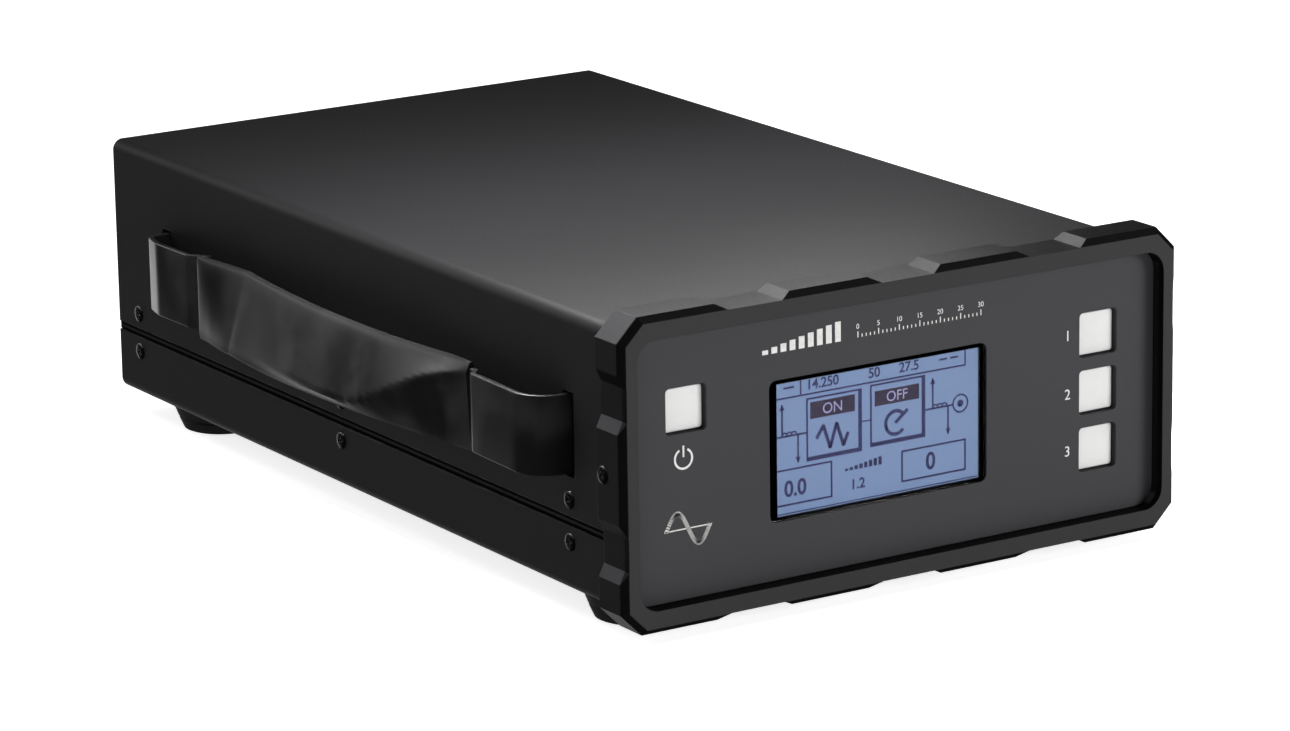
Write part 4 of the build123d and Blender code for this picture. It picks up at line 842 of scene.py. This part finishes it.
class AMPLIFIER_OT_paint_parts(bpy.types.Operator):
    """Gives every CAD part the finish of its material slot"""

    bl_idname = "amplifier.paint_parts"
    bl_label = "Paint parts"

    def execute(self, context):
        for entry in frame["record"]["subparts"]:
            mesh = frame["nodes"][entry["node"]].data
            mesh.materials.clear()
            mesh.materials.append(finish(entry["material_slot"]))
        return {"FINISHED"}


# -------- seam ends

SEAM_GAP = 0.2  # shadow above and below each end, in millimetres


class AMPLIFIER_OT_seam_ends(bpy.types.Operator):
    """Carries the ribs of both side rails on to the case's rear edge"""

    bl_idname = "amplifier.seam_ends"
    bl_label = "Seam ends"

    def execute(self, context):
        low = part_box("bottom_pan")[1].z + SEAM_GAP * MM
        high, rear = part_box("top_cover")[0].z - SEAM_GAP * MM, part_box("top_cover")[1].y
        for rail, side in (("left_side_rail", 0), ("right_side_rail", 1)):
            outer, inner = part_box(rail)[side].x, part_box("rear_panel")[side].x
            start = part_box(rail)[1].y
            corners = [(outer, low), (inner, low), (inner, high), (outer, high)]
            form = loft(bmesh.new(), [[Vector((x, y, z)) for x, z in corners] for y in (start, rear)])
            add_piece(rail + "_end", form, "rail_metal")
        return {"FINISHED"}


# -------- panel markings


class AMPLIFIER_OT_panel_markings(bpy.types.Operator):
    """Prints the scale, the key numbers, the power symbol and the wave on the panel"""

    bl_idname = "amplifier.panel_markings"
    bl_label = "Panel markings"

    def execute(self, context):
        marks = Drawing(panel_face, sizes().marking_depth / MM)
        for n in range(9):
            left = -40.9 + 2.7 * n
            marks.bar(left, left + 1.7, 67.3, 68.4 + 0.5 * n)
        for n in range(31):
            left, tall = -12.6 + 1.25 * n, 1.5 if n % 5 == 0 else 0.8
            marks.bar(left, left + 0.28, 67.5, 67.5 + tall)
        for n in range(7):
            marks.text(str(5 * n), -12.5 + 6.25 * n, 69.7, 1.3, "CENTER")
        for number, low in (("1", 56.6), ("2", 41.2), ("3", 26.2)):
            marks.text(number, 53.2, low, 2.7, "RIGHT")
        marks.arc(-64.2, 45.0, 2.5, 0.55, 118, 422, 40)
        marks.bar(-64.45, -63.95, 45.4, 48.3)
        angles = full_circle(40) + [2 * pi]
        marks.stroke([(-69.4 + 6.3 * a / pi, 27.2 + 4.2 * sin(a)) for a in angles], 1.1)
        marks.stroke([(-70.0, 27.2), (-56.2, 27.2)], sizes().marking_line / MM)
        marks.finish("panel_markings", "panel_markings", "panel_paint")
        return {"FINISHED"}


# -------- display

# All places and sizes in millimetres.
INK_DEPTH = 0.05
FRAME_LINE = 0.5
SYMBOL_LINE = 0.95
# Upright arrows: place, foot, tip.
ARROWS = [(-34.3, 45.2, 53.4), (-29.6, 45.2, 37.9), (11.2, 45.2, 53.0), (15.9, 45.2, 37.8)]
BOWS = (-33.6, -32.2, -30.8, 12.0, 13.4, 14.8)
SAWTOOTH = [(-24.0, 43.2), (-22.0, 46.2), (-20.0, 40.2), (-18.0, 46.2), (-16.0, 40.2), (-14.6, 43.2)]


class AMPLIFIER_OT_display_picture(bpy.types.Operator):
    """Draws the status picture on the display"""

    bl_idname = "amplifier.display_picture"
    bl_label = "Display picture"

    def execute(self, context):
        ink = Drawing(glass_face, INK_DEPTH)
        self.top_row(ink)
        self.blocks(ink)
        self.links(ink)
        self.lower_row(ink)
        ink.finish("display_ink", "display_ink", "display_cell")

        bars = Drawing(glass_face, INK_DEPTH)
        bars.bar(-25.9, -12.5, 48.4, 52.7)
        bars.bar(-6.5, 7.0, 48.5, 52.4)
        bars.finish("display_bars", "display_bars", "display_cell")

        lit = Drawing(glass_face - INK_DEPTH, 0.02)
        lit.text("ON", -19.2, 49.2, 2.7, "CENTER")
        lit.text("OFF", 0.25, 49.2, 2.6, "CENTER")
        lit.finish("display_words", "display_light", "display_cell")
        return {"FINISHED"}

    def top_row(self, ink):
        """Three numbers above a line, and dashes."""
        ink.bar(-36.6, 21.4, 54.7, 55.15)
        for x in (-28.7, 21.2):
            ink.bar(x - 0.22, x + 0.22, 55.1, 59.3)
        ink.bar(-33.8, -30.6, 57.2, 57.7)
        for x, digits in ((-27.0, "14.250"), (-8.4, "50"), (0.9, "27.5")):
            ink.text(digits, x, 56.1, 2.5, weight=0.07)
        ink.bar(13.2, 15.6, 57.2, 57.7)
        ink.bar(16.6, 19.0, 57.2, 57.7)

    def blocks(self, ink):
        """Two framed blocks, one with a wave and one with a dial."""
        ink.frame(-27.1, -11.0, 38.3, 53.9, FRAME_LINE, 0.6)
        ink.frame(-7.9, 8.3, 38.8, 54.3, FRAME_LINE, 0.6)
        ink.bar(-10.5, -7.9, 45.1, 45.45)
        ink.stroke(SAWTOOTH, SYMBOL_LINE)
        ink.arc(-0.2, 43.4, 3.0, SYMBOL_LINE, 40, 320)
        ink.stroke([(-0.2, 43.4), (3.4, 46.2)], SYMBOL_LINE)

    def links(self, ink):
        """Lines that lead to the blocks and on, with arrows and bows, and a ring at their end."""
        for x, foot, tip in ARROWS:
            self.arrow(ink, x, foot, tip)
        ink.bar(-37.0, -27.1, 44.9, 45.4)
        ink.bar(9.0, 17.2, 44.9, 45.4)
        for x in BOWS:
            ink.arc(x, 45.4, 0.7, 0.4, 0, 180, 8)
        ink.arc(19.7, 45.2, 2.25, 0.45, steps=32)
        ink.arc(19.7, 45.2, 0.5, 0.9, steps=12)

    def lower_row(self, ink):
        """Two framed numbers, with a rising row of bars and a small number between them."""
        ink.frame(-36.6, -19.4, 27.3, 36.8, FRAME_LINE)
        ink.frame(1.5, 21.4, 27.5, 35.8, FRAME_LINE)
        ink.text("0.0", -33.8, 29.7, 4.0, stretch=0.95, weight=0.14)
        ink.text("0", 9.0, 29.6, 4.4, stretch=0.95, weight=0.14)
        for n in range(8):
            ink.bar(-15.6 + 1.45 * n, -14.6 + 1.45 * n, 33.3, 33.9 + 0.22 * n)
        ink.text("1.2", -14.0, 28.3, 2.6, weight=0.08)
        ink.bar(-36.6, 24.9, 25.2, 25.5)

    def arrow(self, ink, x, foot, tip):
        """An upright arrow from foot to tip, up or down."""
        ink.bar(x - 0.24, x + 0.24, min(foot, tip), max(foot, tip))
        back = -1 if tip > foot else 1
        ink.shape([(x, tip), (x - 0.8, tip + back * 1.5), (x + 0.8, tip + back * 1.5)][:: -back])


# -------- carrying strap

# Lengths in millimetres: lines run as distance out of the case's side and depth.
STRAP_HEIGHT = 47.6
STRAP_WIDTH = 20.5
STRAP_THICKNESS = 1.6
STRAP_EDGE = 0.4
STRAP_MIDDLE = 136.1
BOW_STEPS = 48
STRAP_FRONT = [(-2.5, 57.0), (-2.5, 32.1), (9.4, 32.1), (8.6, 62.1), (6.2, 64.6), (6.6, 77.1)]
STRAP_FRONT_RADII = [2.0, 8.4, 1.6, 1.6]
STRAP_REAR = [(8.2, 187.0), (8.3, 206.4), (3.4, 209.4), (7.3, 214.6), (7.8, 231.0), (5.9, 239.6)]
STRAP_REAR += [(-2.5, 240.1), (-2.5, 215.2)]
STRAP_REAR_RADII = [1.2, 1.0, 1.6, 12.0, 3.0, 2.0]
GRIP_START = 66.0
GRIP_END = 206.7
GRIP_WIDTH = 23.4
GRIP_THICKNESS = 2.6
GRIP_OUT = 11.1
GRIP_STEPS = 26
GRIP_OFF_CASE = 4.0
GRIP_FRONT_TAPER = 5.0
GRIP_REAR_TAPER = 8.0
# Powers that say how square the grip's section is, and how near its rims the pad's swell and the
# matter rim begin.
GRIP_SQUARENESS = 24
SWELL_SQUARENESS = 30
RIM_SQUARENESS = 8
# Depths between which the grip turns out, and turns back.
LEAN_RISE = (80, 190)
LEAN_FALL = (182, 207)
# The crease's height on the grip, and how far it stands out, at some depths.
CREASE_HEIGHT = [(66.0, 9.0), (120.0, -8.5)]
CREASE_LIFT = [(62.0, 0.6), (80.0, 2.6), (100.0, 3.8), (125.0, 3.2), (180.0, 0.0)]


def along(stops, depth):
    """Value at a depth between the nearest stops, which are pairs of depth and value."""
    for (near, first), (far, second) in zip(stops, stops[1:]):
        if depth <= far:
            return first + (second - first) * smooth_step(depth, near, far)
    return stops[-1][1]


def bowed_middle(start, end):
    """Points of the arc that the strap follows between its two ends, fullest at its middle."""
    rise = GRIP_OUT - start.x
    half = STRAP_MIDDLE - start.y
    radius = (half * half + rise * rise) / (2 * rise)
    centre = Vector((GRIP_OUT - radius, STRAP_MIDDLE))
    line = []
    for n in range(1, BOW_STEPS):
        y = start.y + (end.y - start.y) * n / BOW_STEPS
        line.append(Vector((centre.x + sqrt(radius * radius - (y - STRAP_MIDDLE) ** 2), y)))
    return line


def strap_line():
    """The strap's middle line, as distance out of the case's side and depth."""
    ends = []
    for corners, radii in ((STRAP_FRONT, STRAP_FRONT_RADII), (STRAP_REAR, STRAP_REAR_RADII)):
        ends.append([p.to_2d() for p in rounded_line([Vector((*c, 0)) for c in corners], radii)])
    front, rear = ends
    return front + bowed_middle(front[-1], rear[0]) + rear


def lean(depth):
    """How far the strap is turned at that depth: most at the grip's rear end."""
    return sizes().grip_turn * smooth_step(depth, *LEAN_RISE) * (1 - smooth_step(depth, *LEAN_FALL))


def sections(line, outline):
    """Rings of an outline (distance out, height) carried along the strap's line."""
    rings = []
    for n, spot in enumerate(line):
        ahead = line[min(n + 1, len(line) - 1)] - line[max(n - 1, 0)]
        outward = Vector((ahead.y, -ahead.x)).normalized()
        turn = lean(spot.y)
        ring = []
        for out, up in outline(spot):
            turned_out = out * cos(turn) - up * sin(turn)
            turned_up = out * sin(turn) + up * cos(turn)
            place = spot + outward * turned_out
            ring.append(at(-case_half - place.x, place.y, STRAP_HEIGHT + turned_up))
        rings.append(ring)
    return rings


def flat_band(width, thickness, soft):
    """Outline of a flat band with rounded long edges."""
    across, up = thickness / 2 - soft, width / 2 - soft
    outline = []
    for sx, sz, start in ((1, 1, 0), (-1, 1, 90), (-1, -1, 180), (1, -1, 270)):
        for turn in [radians(start + 22.5 * n) for n in range(5)]:
            outline.append((sx * across + soft * cos(turn), sz * up + soft * sin(turn)))
    return outline


class AMPLIFIER_OT_strap(bpy.types.Operator):
    """Makes the strap's band, looped through the two slots of the cover"""

    bl_idname = "amplifier.strap"
    bl_label = "Strap"

    def execute(self, context):
        outline = flat_band(STRAP_WIDTH, STRAP_THICKNESS, STRAP_EDGE)
        line = divided(strap_line(), 2.5)
        form = loft(bmesh.new(), sections(line, lambda spot: outline))
        add_piece("strap_band", form, "strap_vinyl", stands_for=["handle_strap"])
        return {"FINISHED"}


class AMPLIFIER_OT_grip(bpy.types.Operator):
    """Makes the padded grip around the strap's middle"""

    bl_idname = "amplifier.grip"
    bl_label = "Padded grip"

    def execute(self, context):
        line = [p for p in divided(strap_line(), 1.5) if GRIP_START <= p.y <= GRIP_END]
        line = [p for p in line if p.x > GRIP_OFF_CASE]
        start, end = line[0].y, line[-1].y
        form = loft(bmesh.new(), sections(line, lambda spot: self.outline(spot.y, start, end)))
        rim = form.verts.layers.float.new("rim")
        for n, corner in enumerate(form.verts):
            corner[rim] = abs(sin(pi * (n / GRIP_STEPS - 0.5))) ** RIM_SQUARENESS
        grip = closed_object("padded_grip", form, "strap_vinyl")
        settle(grip, "strap_vinyl", stands_for=["handle_grip"])
        return {"FINISHED"}

    def outline(self, depth, start, end):
        """Crowned section that closes in on the band at both ends, with a slanting crease."""
        near_end = min((depth - start) / GRIP_FRONT_TAPER, (end - depth) / GRIP_REAR_TAPER)
        full = 0.5 + 0.5 * sqrt(min(1, near_end))
        crease = along(CREASE_HEIGHT, depth)
        lift = along(CREASE_LIFT, depth) * sizes().crease_lift / MM
        outline = []
        for side in (1, -1):
            for n in range(GRIP_STEPS):
                share = side * sin(pi * (n / GRIP_STEPS - 0.5))
                up = GRIP_WIDTH / 2 * share
                out = side * GRIP_THICKNESS / 2 * full * sqrt(1 - abs(share) ** GRIP_SQUARENESS)
                if side > 0:
                    edge = GRIP_WIDTH / 2 if up > crease else -GRIP_WIDTH / 2
                    swell = 1 - abs(share) ** SWELL_SQUARENESS
                    out += lift * min(1, (edge - up) / (edge - crease)) * swell
                outline.append((out, up))
        return outline


# -------- feet

# Rings of a foot, as radius and height in millimetres: the first from the standing surface up,
# the last from the foot's top down.
FOOT_TREAD = [(2.0, 2.6), (4.2, 2.6), (4.2, 0.5), (4.6, 0.0), (10.5, 0.0), (11.1, 0.25)]
FOOT_WALL = [(11.35, 0.8), (12.3, 2.9), (12.0, 3.2), (12.0, 3.6), (12.65, 3.9)]
FOOT_TOP = [(13.4, 1.0), (13.75, 0.4), (13.6, 0.02), (2.0, 0.02)]


class AMPLIFIER_OT_feet(bpy.types.Operator):
    """Turns the four rubber feet"""

    bl_idname = "amplifier.feet"
    bl_label = "Feet"

    def execute(self, context):
        for node in ("front_left_foot", "front_right_foot", "rear_left_foot", "rear_right_foot"):
            low, high, middle = extent(node)
            top = (high.z - low.z) / MM
            profile = FOOT_TREAD + FOOT_WALL + [(radius, top - below) for radius, below in FOOT_TOP]
            form = lathe(bmesh.new(), profile, Vector((middle.x, middle.y, 0)), (0, 0, 1))
            add_piece(node + "_rubber", form, "foot_rubber", stands_for=[node])
        return {"FINISHED"}


# -------- screws

# Each group: CAD node, axis of its screws, slot of their finish.
SCREW_GROUPS = [
    ("case_screws", (1, 0, 0), "black_screws"),
    ("bezel_side_screws", (1, 0, 0), "black_screws"),
    ("foot_screws", (0, 0, 1), "plated_screws"),
    ("fan_screws", (0, 1, 0), "black_screws"),
    ("socket_screws", (0, 1, 0), "plated_screws"),
    ("frame_screws", (0, 1, 0), "black_screws"),
    ("heatsink_screws", (0, 0, 1), "black_screws"),
]

# Rings of a head, and of the cross recess in it: shares of the head's radius and height.
HEAD_RINGS = [(0.96, 0), (1, 0.12), (0.98, 0.4), (0.9, 0.68), (0.76, 0.88), (0.6, 0.97)]
RECESS_RINGS = [(0.52, 1.0), (0.5, 0.55), (0.2, 0.38)]
RECESS_CORE = 0.2
SCREW_STEPS = 32


def screw_form(sample, name):
    """Pan-head screw along Z with its seat at the origin: domed head and tapered cross recess."""
    radius, height = sample.head_radius, sample.head_height
    shank, tip = sample.shank_radius, -sample.shank_length
    rings = [(0, tip), (0.75 * shank, tip), (shank, tip + 0.3 * height), (shank, 0)]
    rings += [(r * radius, z * height) for r, z in HEAD_RINGS]
    form = bmesh.new()
    rows = [[(r, z)] * SCREW_STEPS for r, z in rings]
    quarter = SCREW_STEPS // 4
    for reach, level in RECESS_RINGS:
        row = []
        for n in range(SCREW_STEPS):
            arm = abs((n + quarter // 2) % quarter - quarter // 2) <= 1
            deep = arm or reach <= RECESS_CORE
            row.append((radius * (reach if arm else RECESS_CORE), height * (level if deep else 1)))
        rows.append(row)
    angles = full_circle(SCREW_STEPS)
    loft(form, [[(r * cos(a), r * sin(a), z) for (r, z), a in zip(row, angles)] for row in rows])
    return bpy.data.objects.new(name, closed_mesh(name, form))


class AMPLIFIER_OT_screws(bpy.types.Operator):
    """Sets pan-head screws with cross recesses in place of the plain ones"""

    bl_idname = "amplifier.screws"
    bl_label = "Screws"

    def execute(self, context):
        for seed, (node, axis, slot) in enumerate(SCREW_GROUPS):
            fasteners = [Fastener(corners, axis) for corners in solids_of(node)]
            sample = screw_form(fasteners[0], node + "_sample")
            seats = [(one.seat, one.facing) for one in fasteners]
            values = {"Piece": sample, "Size": 1.0, "Turn": pi, "Seed": seed}
            grow(node + "_driven", seats_tree(), seats, values, slot, node)
            bpy.data.objects.remove(sample)
        return {"FINISHED"}


# -------- fan

# Rings of the guard: how many, then the first one's radius and the step as shares of its reach.
GUARD_RINGS = 5
GUARD_FIRST = 0.13
GUARD_STEP = 0.19
EYE_STEPS = 24


class AMPLIFIER_OT_fan_guard(bpy.types.Operator):
    """Bends the fan guard from round wire"""

    bl_idname = "amplifier.fan_guard"
    bl_label = "Fan guard"

    def execute(self, context):
        low, high, middle = extent("fan_guard")
        wire = sizes().guard_wire / 2
        reach = (high.x - low.x) / 2
        behind = Vector((middle.x, high.y - wire, middle.z))
        values = {"Rings": GUARD_RINGS, "First radius": reach * GUARD_FIRST}
        values.update({"Pitch": reach * GUARD_STEP, "Wire radius": wire})
        grow("fan_guard_rings", rings_tree(), [(behind, DEPTH)], values, "wire_chrome", "fan_guard")
        self.spokes(Vector((middle.x, high.y - 3 * wire, middle.z)), wire)
        return {"FINISHED"}

    def spokes(self, middle, wire):
        """Wires from the middle outward that end in an eye around each screw."""
        form = bmesh.new()
        for corners in solids_of("fan_screws"):
            screw = Fastener(corners, DEPTH)
            seat = Vector((screw.seat.x, middle.y, screw.seat.z))
            radius = screw.shank_radius + 1.6 * wire
            out = (seat - middle).normalized()
            side = out.cross(DEPTH)
            loft(form, [self.section(p, side, wire, 10) for p in (middle, seat - out * radius)])
            ways = [Vector((cos(a), 0, sin(a))) for a in full_circle(EYE_STEPS)]
            loft(form, [self.section(seat + way * radius, way, wire, 8) for way in ways], closed=True)
        add_piece("fan_guard_spokes", form, "wire_chrome", stands_for=["fan_guard"])

    def section(self, spot, side, wire, steps):
        """Ring around a wire that runs square to side and to the fan's axis."""
        return [spot + side * cos(a) * wire + DEPTH * sin(a) * wire for a in full_circle(steps)]


BLADES = 7
BLADE_ROWS = 7
HUB_SHARE = 0.42
# Section of a blade: place along its chord, and thickness in units of 0.6 mm.
BLADE_SECTION = [(-0.5, 0.4), (-0.2, 1), (0.15, 1), (0.5, 0.3), (0.5, -0.3), (0.15, -0.3)]
BLADE_SECTION += [(-0.2, -0.3), (-0.5, -0.4)]


class AMPLIFIER_OT_fan_impeller(bpy.types.Operator):
    """Turns the fan's hub and sweeps its blades"""

    bl_idname = "amplifier.fan_impeller"
    bl_label = "Fan impeller"

    def execute(self, context):
        low, high, middle = extent("fan_impeller")
        reach, depth = (high.z - low.z) / 2, high.y - low.y
        hub = reach * HUB_SHARE
        off_axis = [(c - middle).xz.length for c in solids_of("fan_impeller")[0]]
        bore = min(r for r in off_axis if r > 1e-4) / MM
        outer, length = hub / MM, depth / MM
        profile = [(bore, 0), (outer - 0.8, 0), (outer, 0.8), (outer, length - 1.2)]
        profile += [(outer - 1.2, length), (outer - 3.4, length), (outer - 3.8, length - 0.4)]
        profile += [(bore, length - 0.4)]
        form = lathe(bmesh.new(), profile, Vector((middle.x, low.y, middle.z)), DEPTH)
        for start in full_circle(BLADES):
            self.blade(form, middle, start, hub * 0.97, reach, depth * 0.8)
        ties = {"body": "fan_rotor", "stands_for": ["fan_impeller"]}
        add_piece("fan_impeller_blades", form, "black_plastic", **ties)
        return {"FINISHED"}

    def blade(self, form, middle, start, hub, reach, depth):
        """A twisted, swept blade from the hub to just inside the duct."""
        rings = []
        for n in range(BLADE_ROWS):
            share = n / (BLADE_ROWS - 1)
            radius = hub + (reach - hub) * share
            pitch = radians(48 - 22 * share)
            lead = start + 0.32 * share
            chord = depth / sin(pitch) * (0.92 - 0.18 * share)
            ring = []
            for place, thick in BLADE_SECTION:
                run = chord * place
                off = 0.09 * chord * (1 - 4 * place * place) + thick * 0.6 * MM
                spin = lead + (run * cos(pitch) - off * sin(pitch)) / radius
                deep = run * sin(pitch) + off * cos(pitch)
                ring.append(middle + Vector((radius * cos(spin), deep, radius * sin(spin))))
            rings.append(ring)
        loft(form, rings)


# -------- rear sockets

# In millimetres: how far inside the socket's mouth a thread starts, then its own measures.
THREAD_START = 9.0
THREAD_LENGTH = 8.2
THREAD_PITCH = 1.06
THREAD_HEIGHT = 0.42
THREAD_STEPS = 48


class AMPLIFIER_OT_socket_threads(bpy.types.Operator):
    """Cuts the threads of the two coaxial sockets"""

    bl_idname = "amplifier.socket_threads"
    bl_label = "Socket threads"

    def execute(self, context):
        for node in ("antenna_socket", "input_socket"):
            high, middle = extent(node)[1:]
            mouth = [c for corners in solids_of(node) for c in corners if c.y > high.y - SAME_LEVEL]
            radius = max((c - middle).xz.length for c in mouth) / MM
            start = Vector((middle.x, high.y - THREAD_START * MM, middle.z))
            add_piece(node + "_thread", self.thread(start, radius), "nickel")
        return {"FINISHED"}

    def thread(self, start, radius):
        """Thread that stands on a barrel and fades in and out within a third of a turn."""
        last = int(THREAD_LENGTH / THREAD_PITCH) * THREAD_STEPS
        fading = THREAD_STEPS / 3
        low = radius - 0.15
        rings = []
        for n in range(last + 1):
            turn = 2 * pi * n / THREAD_STEPS
            out = Vector((cos(turn), 0, sin(turn)))
            crest = radius + 0.02 + THREAD_HEIGHT * min(1, n / fading, (last - n) / fading)
            section = [(low, 0.0), (crest, 0.38), (crest, 0.52), (low, 0.9)]
            way = DEPTH * THREAD_PITCH
            before = n / THREAD_STEPS
            rings.append([start + (out * r + way * (before + share)) * MM for r, share in section])
        return loft(bmesh.new(), rings)


# -------- studio


# Lights: place and target, width and height in metres, and the power's name in the sidebar.
SOFTBOXES = {
    "overhead_sheet": ((0.2, 0.6, 3.2), (0, 0.6, 0), 5.5, 5.5, "sheet_power"),
    "top_strip": ((0.01, -0.01, 0.19), (0.02, -0.1, 0.083), 0.24, 0.04, "top_power"),
    "side_light": ((-0.08, 0.03, 0.23), (-0.05, -0.09, 0.083), 0.16, 0.08, "side_power"),
    "rim_sheet": ((-0.85, 1.25, 0.62), (-0.05, 0.0, 0.05), 1.3, 0.7, "rim_power"),
    "panel_fill": ((0.9, -1.1, 0.3), (0.0, -0.14, 0.04), 0.5, 0.5, "fill_power"),
}
GLOW_FROM = Vector((0.16, 0.95, -0.26))
PAPER = (0.93, 0.93, 0.93)
PAPER_CORNERS = [(-12, -8), (12, -8), (12, 20), (-12, 20)]
# The camera's place in metres, and its azimuth, elevation and roll in degrees.
CAMERA_PLACE = (-0.7517, -1.20865, 0.4076)
CAMERA_TURNS = (-32.481, 14.915, 0.897)


class AMPLIFIER_OT_studio(bpy.types.Operator):
    """Sets up the floor, the lights and the camera"""

    bl_idname = "amplifier.studio"
    bl_label = "Studio"

    def execute(self, context):
        studio = context.scene.amplifier_studio
        context.scene.view_settings.view_transform = "Standard"
        self.world(context, studio.around, studio.glow)
        self.floor()
        for name, (place, target, width, height, power) in SOFTBOXES.items():
            self.softbox(name, place, target, width, height, getattr(studio, power))
        self.camera(context, studio.lens)
        return {"FINISHED"}

    def world(self, context, around, glow):
        """Even surroundings, with a soft glow low behind the amplifier."""
        world = bpy.data.worlds.new("studio_air")
        world.use_nodes = True
        air = Graph(world.node_tree)
        towards = air.node("ShaderNodeTexCoord", output="Generated")
        facing = air.dot(towards, GLOW_FROM.normalized())
        background = world.node_tree.nodes["Background"]
        background.inputs["Color"].default_value = (1, 1, 1, 1)
        air.feed(background.inputs["Strength"], facing.within(0.9, 0.96) * glow + around)
        context.scene.world = world

    def floor(self):
        """Sheet of white paper that lights itself a little."""
        form = bmesh.new()
        form.faces.new([form.verts.new((x, y, 0)) for x, y in PAPER_CORNERS])
        mesh = bpy.data.meshes.new("floor")
        form.to_mesh(mesh)
        form.free()
        paper = Finish("floor_paper", PAPER, 0.9, specular=0.1)
        paper.set("Base Color", paper.mix(PAPER, (0.9, 0.9, 0.9), paper.noise(3, 2)))
        paper.glow((1, 1, 1), 0.8)
        mesh.materials.append(paper.material)
        floor = bpy.data.objects.new("floor", mesh)
        floor.visible_glossy = False
        bpy.context.scene.collection.objects.link(floor)

    def softbox(self, name, place, target, width, height, power):
        """Area light of width by height that looks from place at target."""
        lamp = bpy.data.lights.new(name, "AREA")
        lamp.shape = "RECTANGLE"
        lamp.size, lamp.size_y = width, height
        lamp.energy = power
        carrier = bpy.data.objects.new(name, lamp)
        aim = (Vector(target) - Vector(place)).to_track_quat("-Z", "Y")
        carrier.matrix_world = Matrix.Translation(place) @ aim.to_matrix().to_4x4()
        bpy.context.scene.collection.objects.link(carrier)

    def camera(self, context, lens):
        """Camera at its place, turned by azimuth, elevation and roll."""
        azimuth, elevation, roll = (radians(turn) for turn in CAMERA_TURNS)
        back = Vector((sin(azimuth) * cos(elevation), -cos(azimuth) * cos(elevation), sin(elevation)))
        right = Vector((cos(azimuth), sin(azimuth), 0))
        up = back.cross(right)
        turned_right = right * cos(roll) - up * sin(roll)
        turned_up = right * sin(roll) + up * cos(roll)
        view = bpy.data.cameras.new("camera")
        view.lens = lens
        view.clip_end = 100
        carrier = bpy.data.objects.new("camera", view)
        turn = Matrix((turned_right, turned_up, back)).transposed().to_4x4()
        carrier.matrix_world = Matrix.Translation(CAMERA_PLACE) @ turn
        context.scene.collection.objects.link(carrier)
        context.scene.camera = carrier


# -------- registration

OPERATORS = [
    AMPLIFIER_OT_studio,
    AMPLIFIER_OT_paint_parts,
    AMPLIFIER_OT_seam_ends,
    AMPLIFIER_OT_panel_markings,
    AMPLIFIER_OT_display_picture,
    AMPLIFIER_OT_strap,
    AMPLIFIER_OT_grip,
    AMPLIFIER_OT_feet,
    AMPLIFIER_OT_screws,
    AMPLIFIER_OT_fan_guard,
    AMPLIFIER_OT_fan_impeller,
    AMPLIFIER_OT_socket_threads,
]


class AMPLIFIER_PT_sidebar(bpy.types.Panel):
    """Sizes, colours and pieces of the amplifier"""

    bl_idname = "AMPLIFIER_PT_sidebar"
    bl_label = "Linear amplifier"
    bl_space_type = "VIEW_3D"
    bl_region_type = "UI"
    bl_category = "Amplifier"

    def draw(self, context):
        for group in ("amplifier_colours", "amplifier_sizes", "amplifier_studio"):
            settings = getattr(context.scene, group)
            box = self.layout.box()
            for name in settings.bl_rna.properties.keys():
                if name not in ("rna_type", "name"):
                    box.prop(settings, name)
        for operator in OPERATORS:
            self.layout.operator(operator.bl_idname)


GROUPS = {
    "amplifier_colours": AmplifierColours,
    "amplifier_sizes": AmplifierSizes,
    "amplifier_studio": AmplifierStudio,
}


def register():
    for name, group in GROUPS.items():
        bpy.utils.register_class(group)
        setattr(bpy.types.Scene, name, PointerProperty(type=group))
    for made in (*OPERATORS, AMPLIFIER_PT_sidebar):
        bpy.utils.register_class(made)


def unregister():
    for made in (AMPLIFIER_PT_sidebar, *reversed(OPERATORS)):
        bpy.utils.unregister_class(made)
    for name, group in GROUPS.items():
        delattr(bpy.types.Scene, name)
        bpy.utils.unregister_class(group)


def main():
    register()
    for operator in OPERATORS:
        family, name = operator.bl_idname.split(".")
        getattr(getattr(bpy.ops, family), name)()


if __name__ == "__main__":
    main()
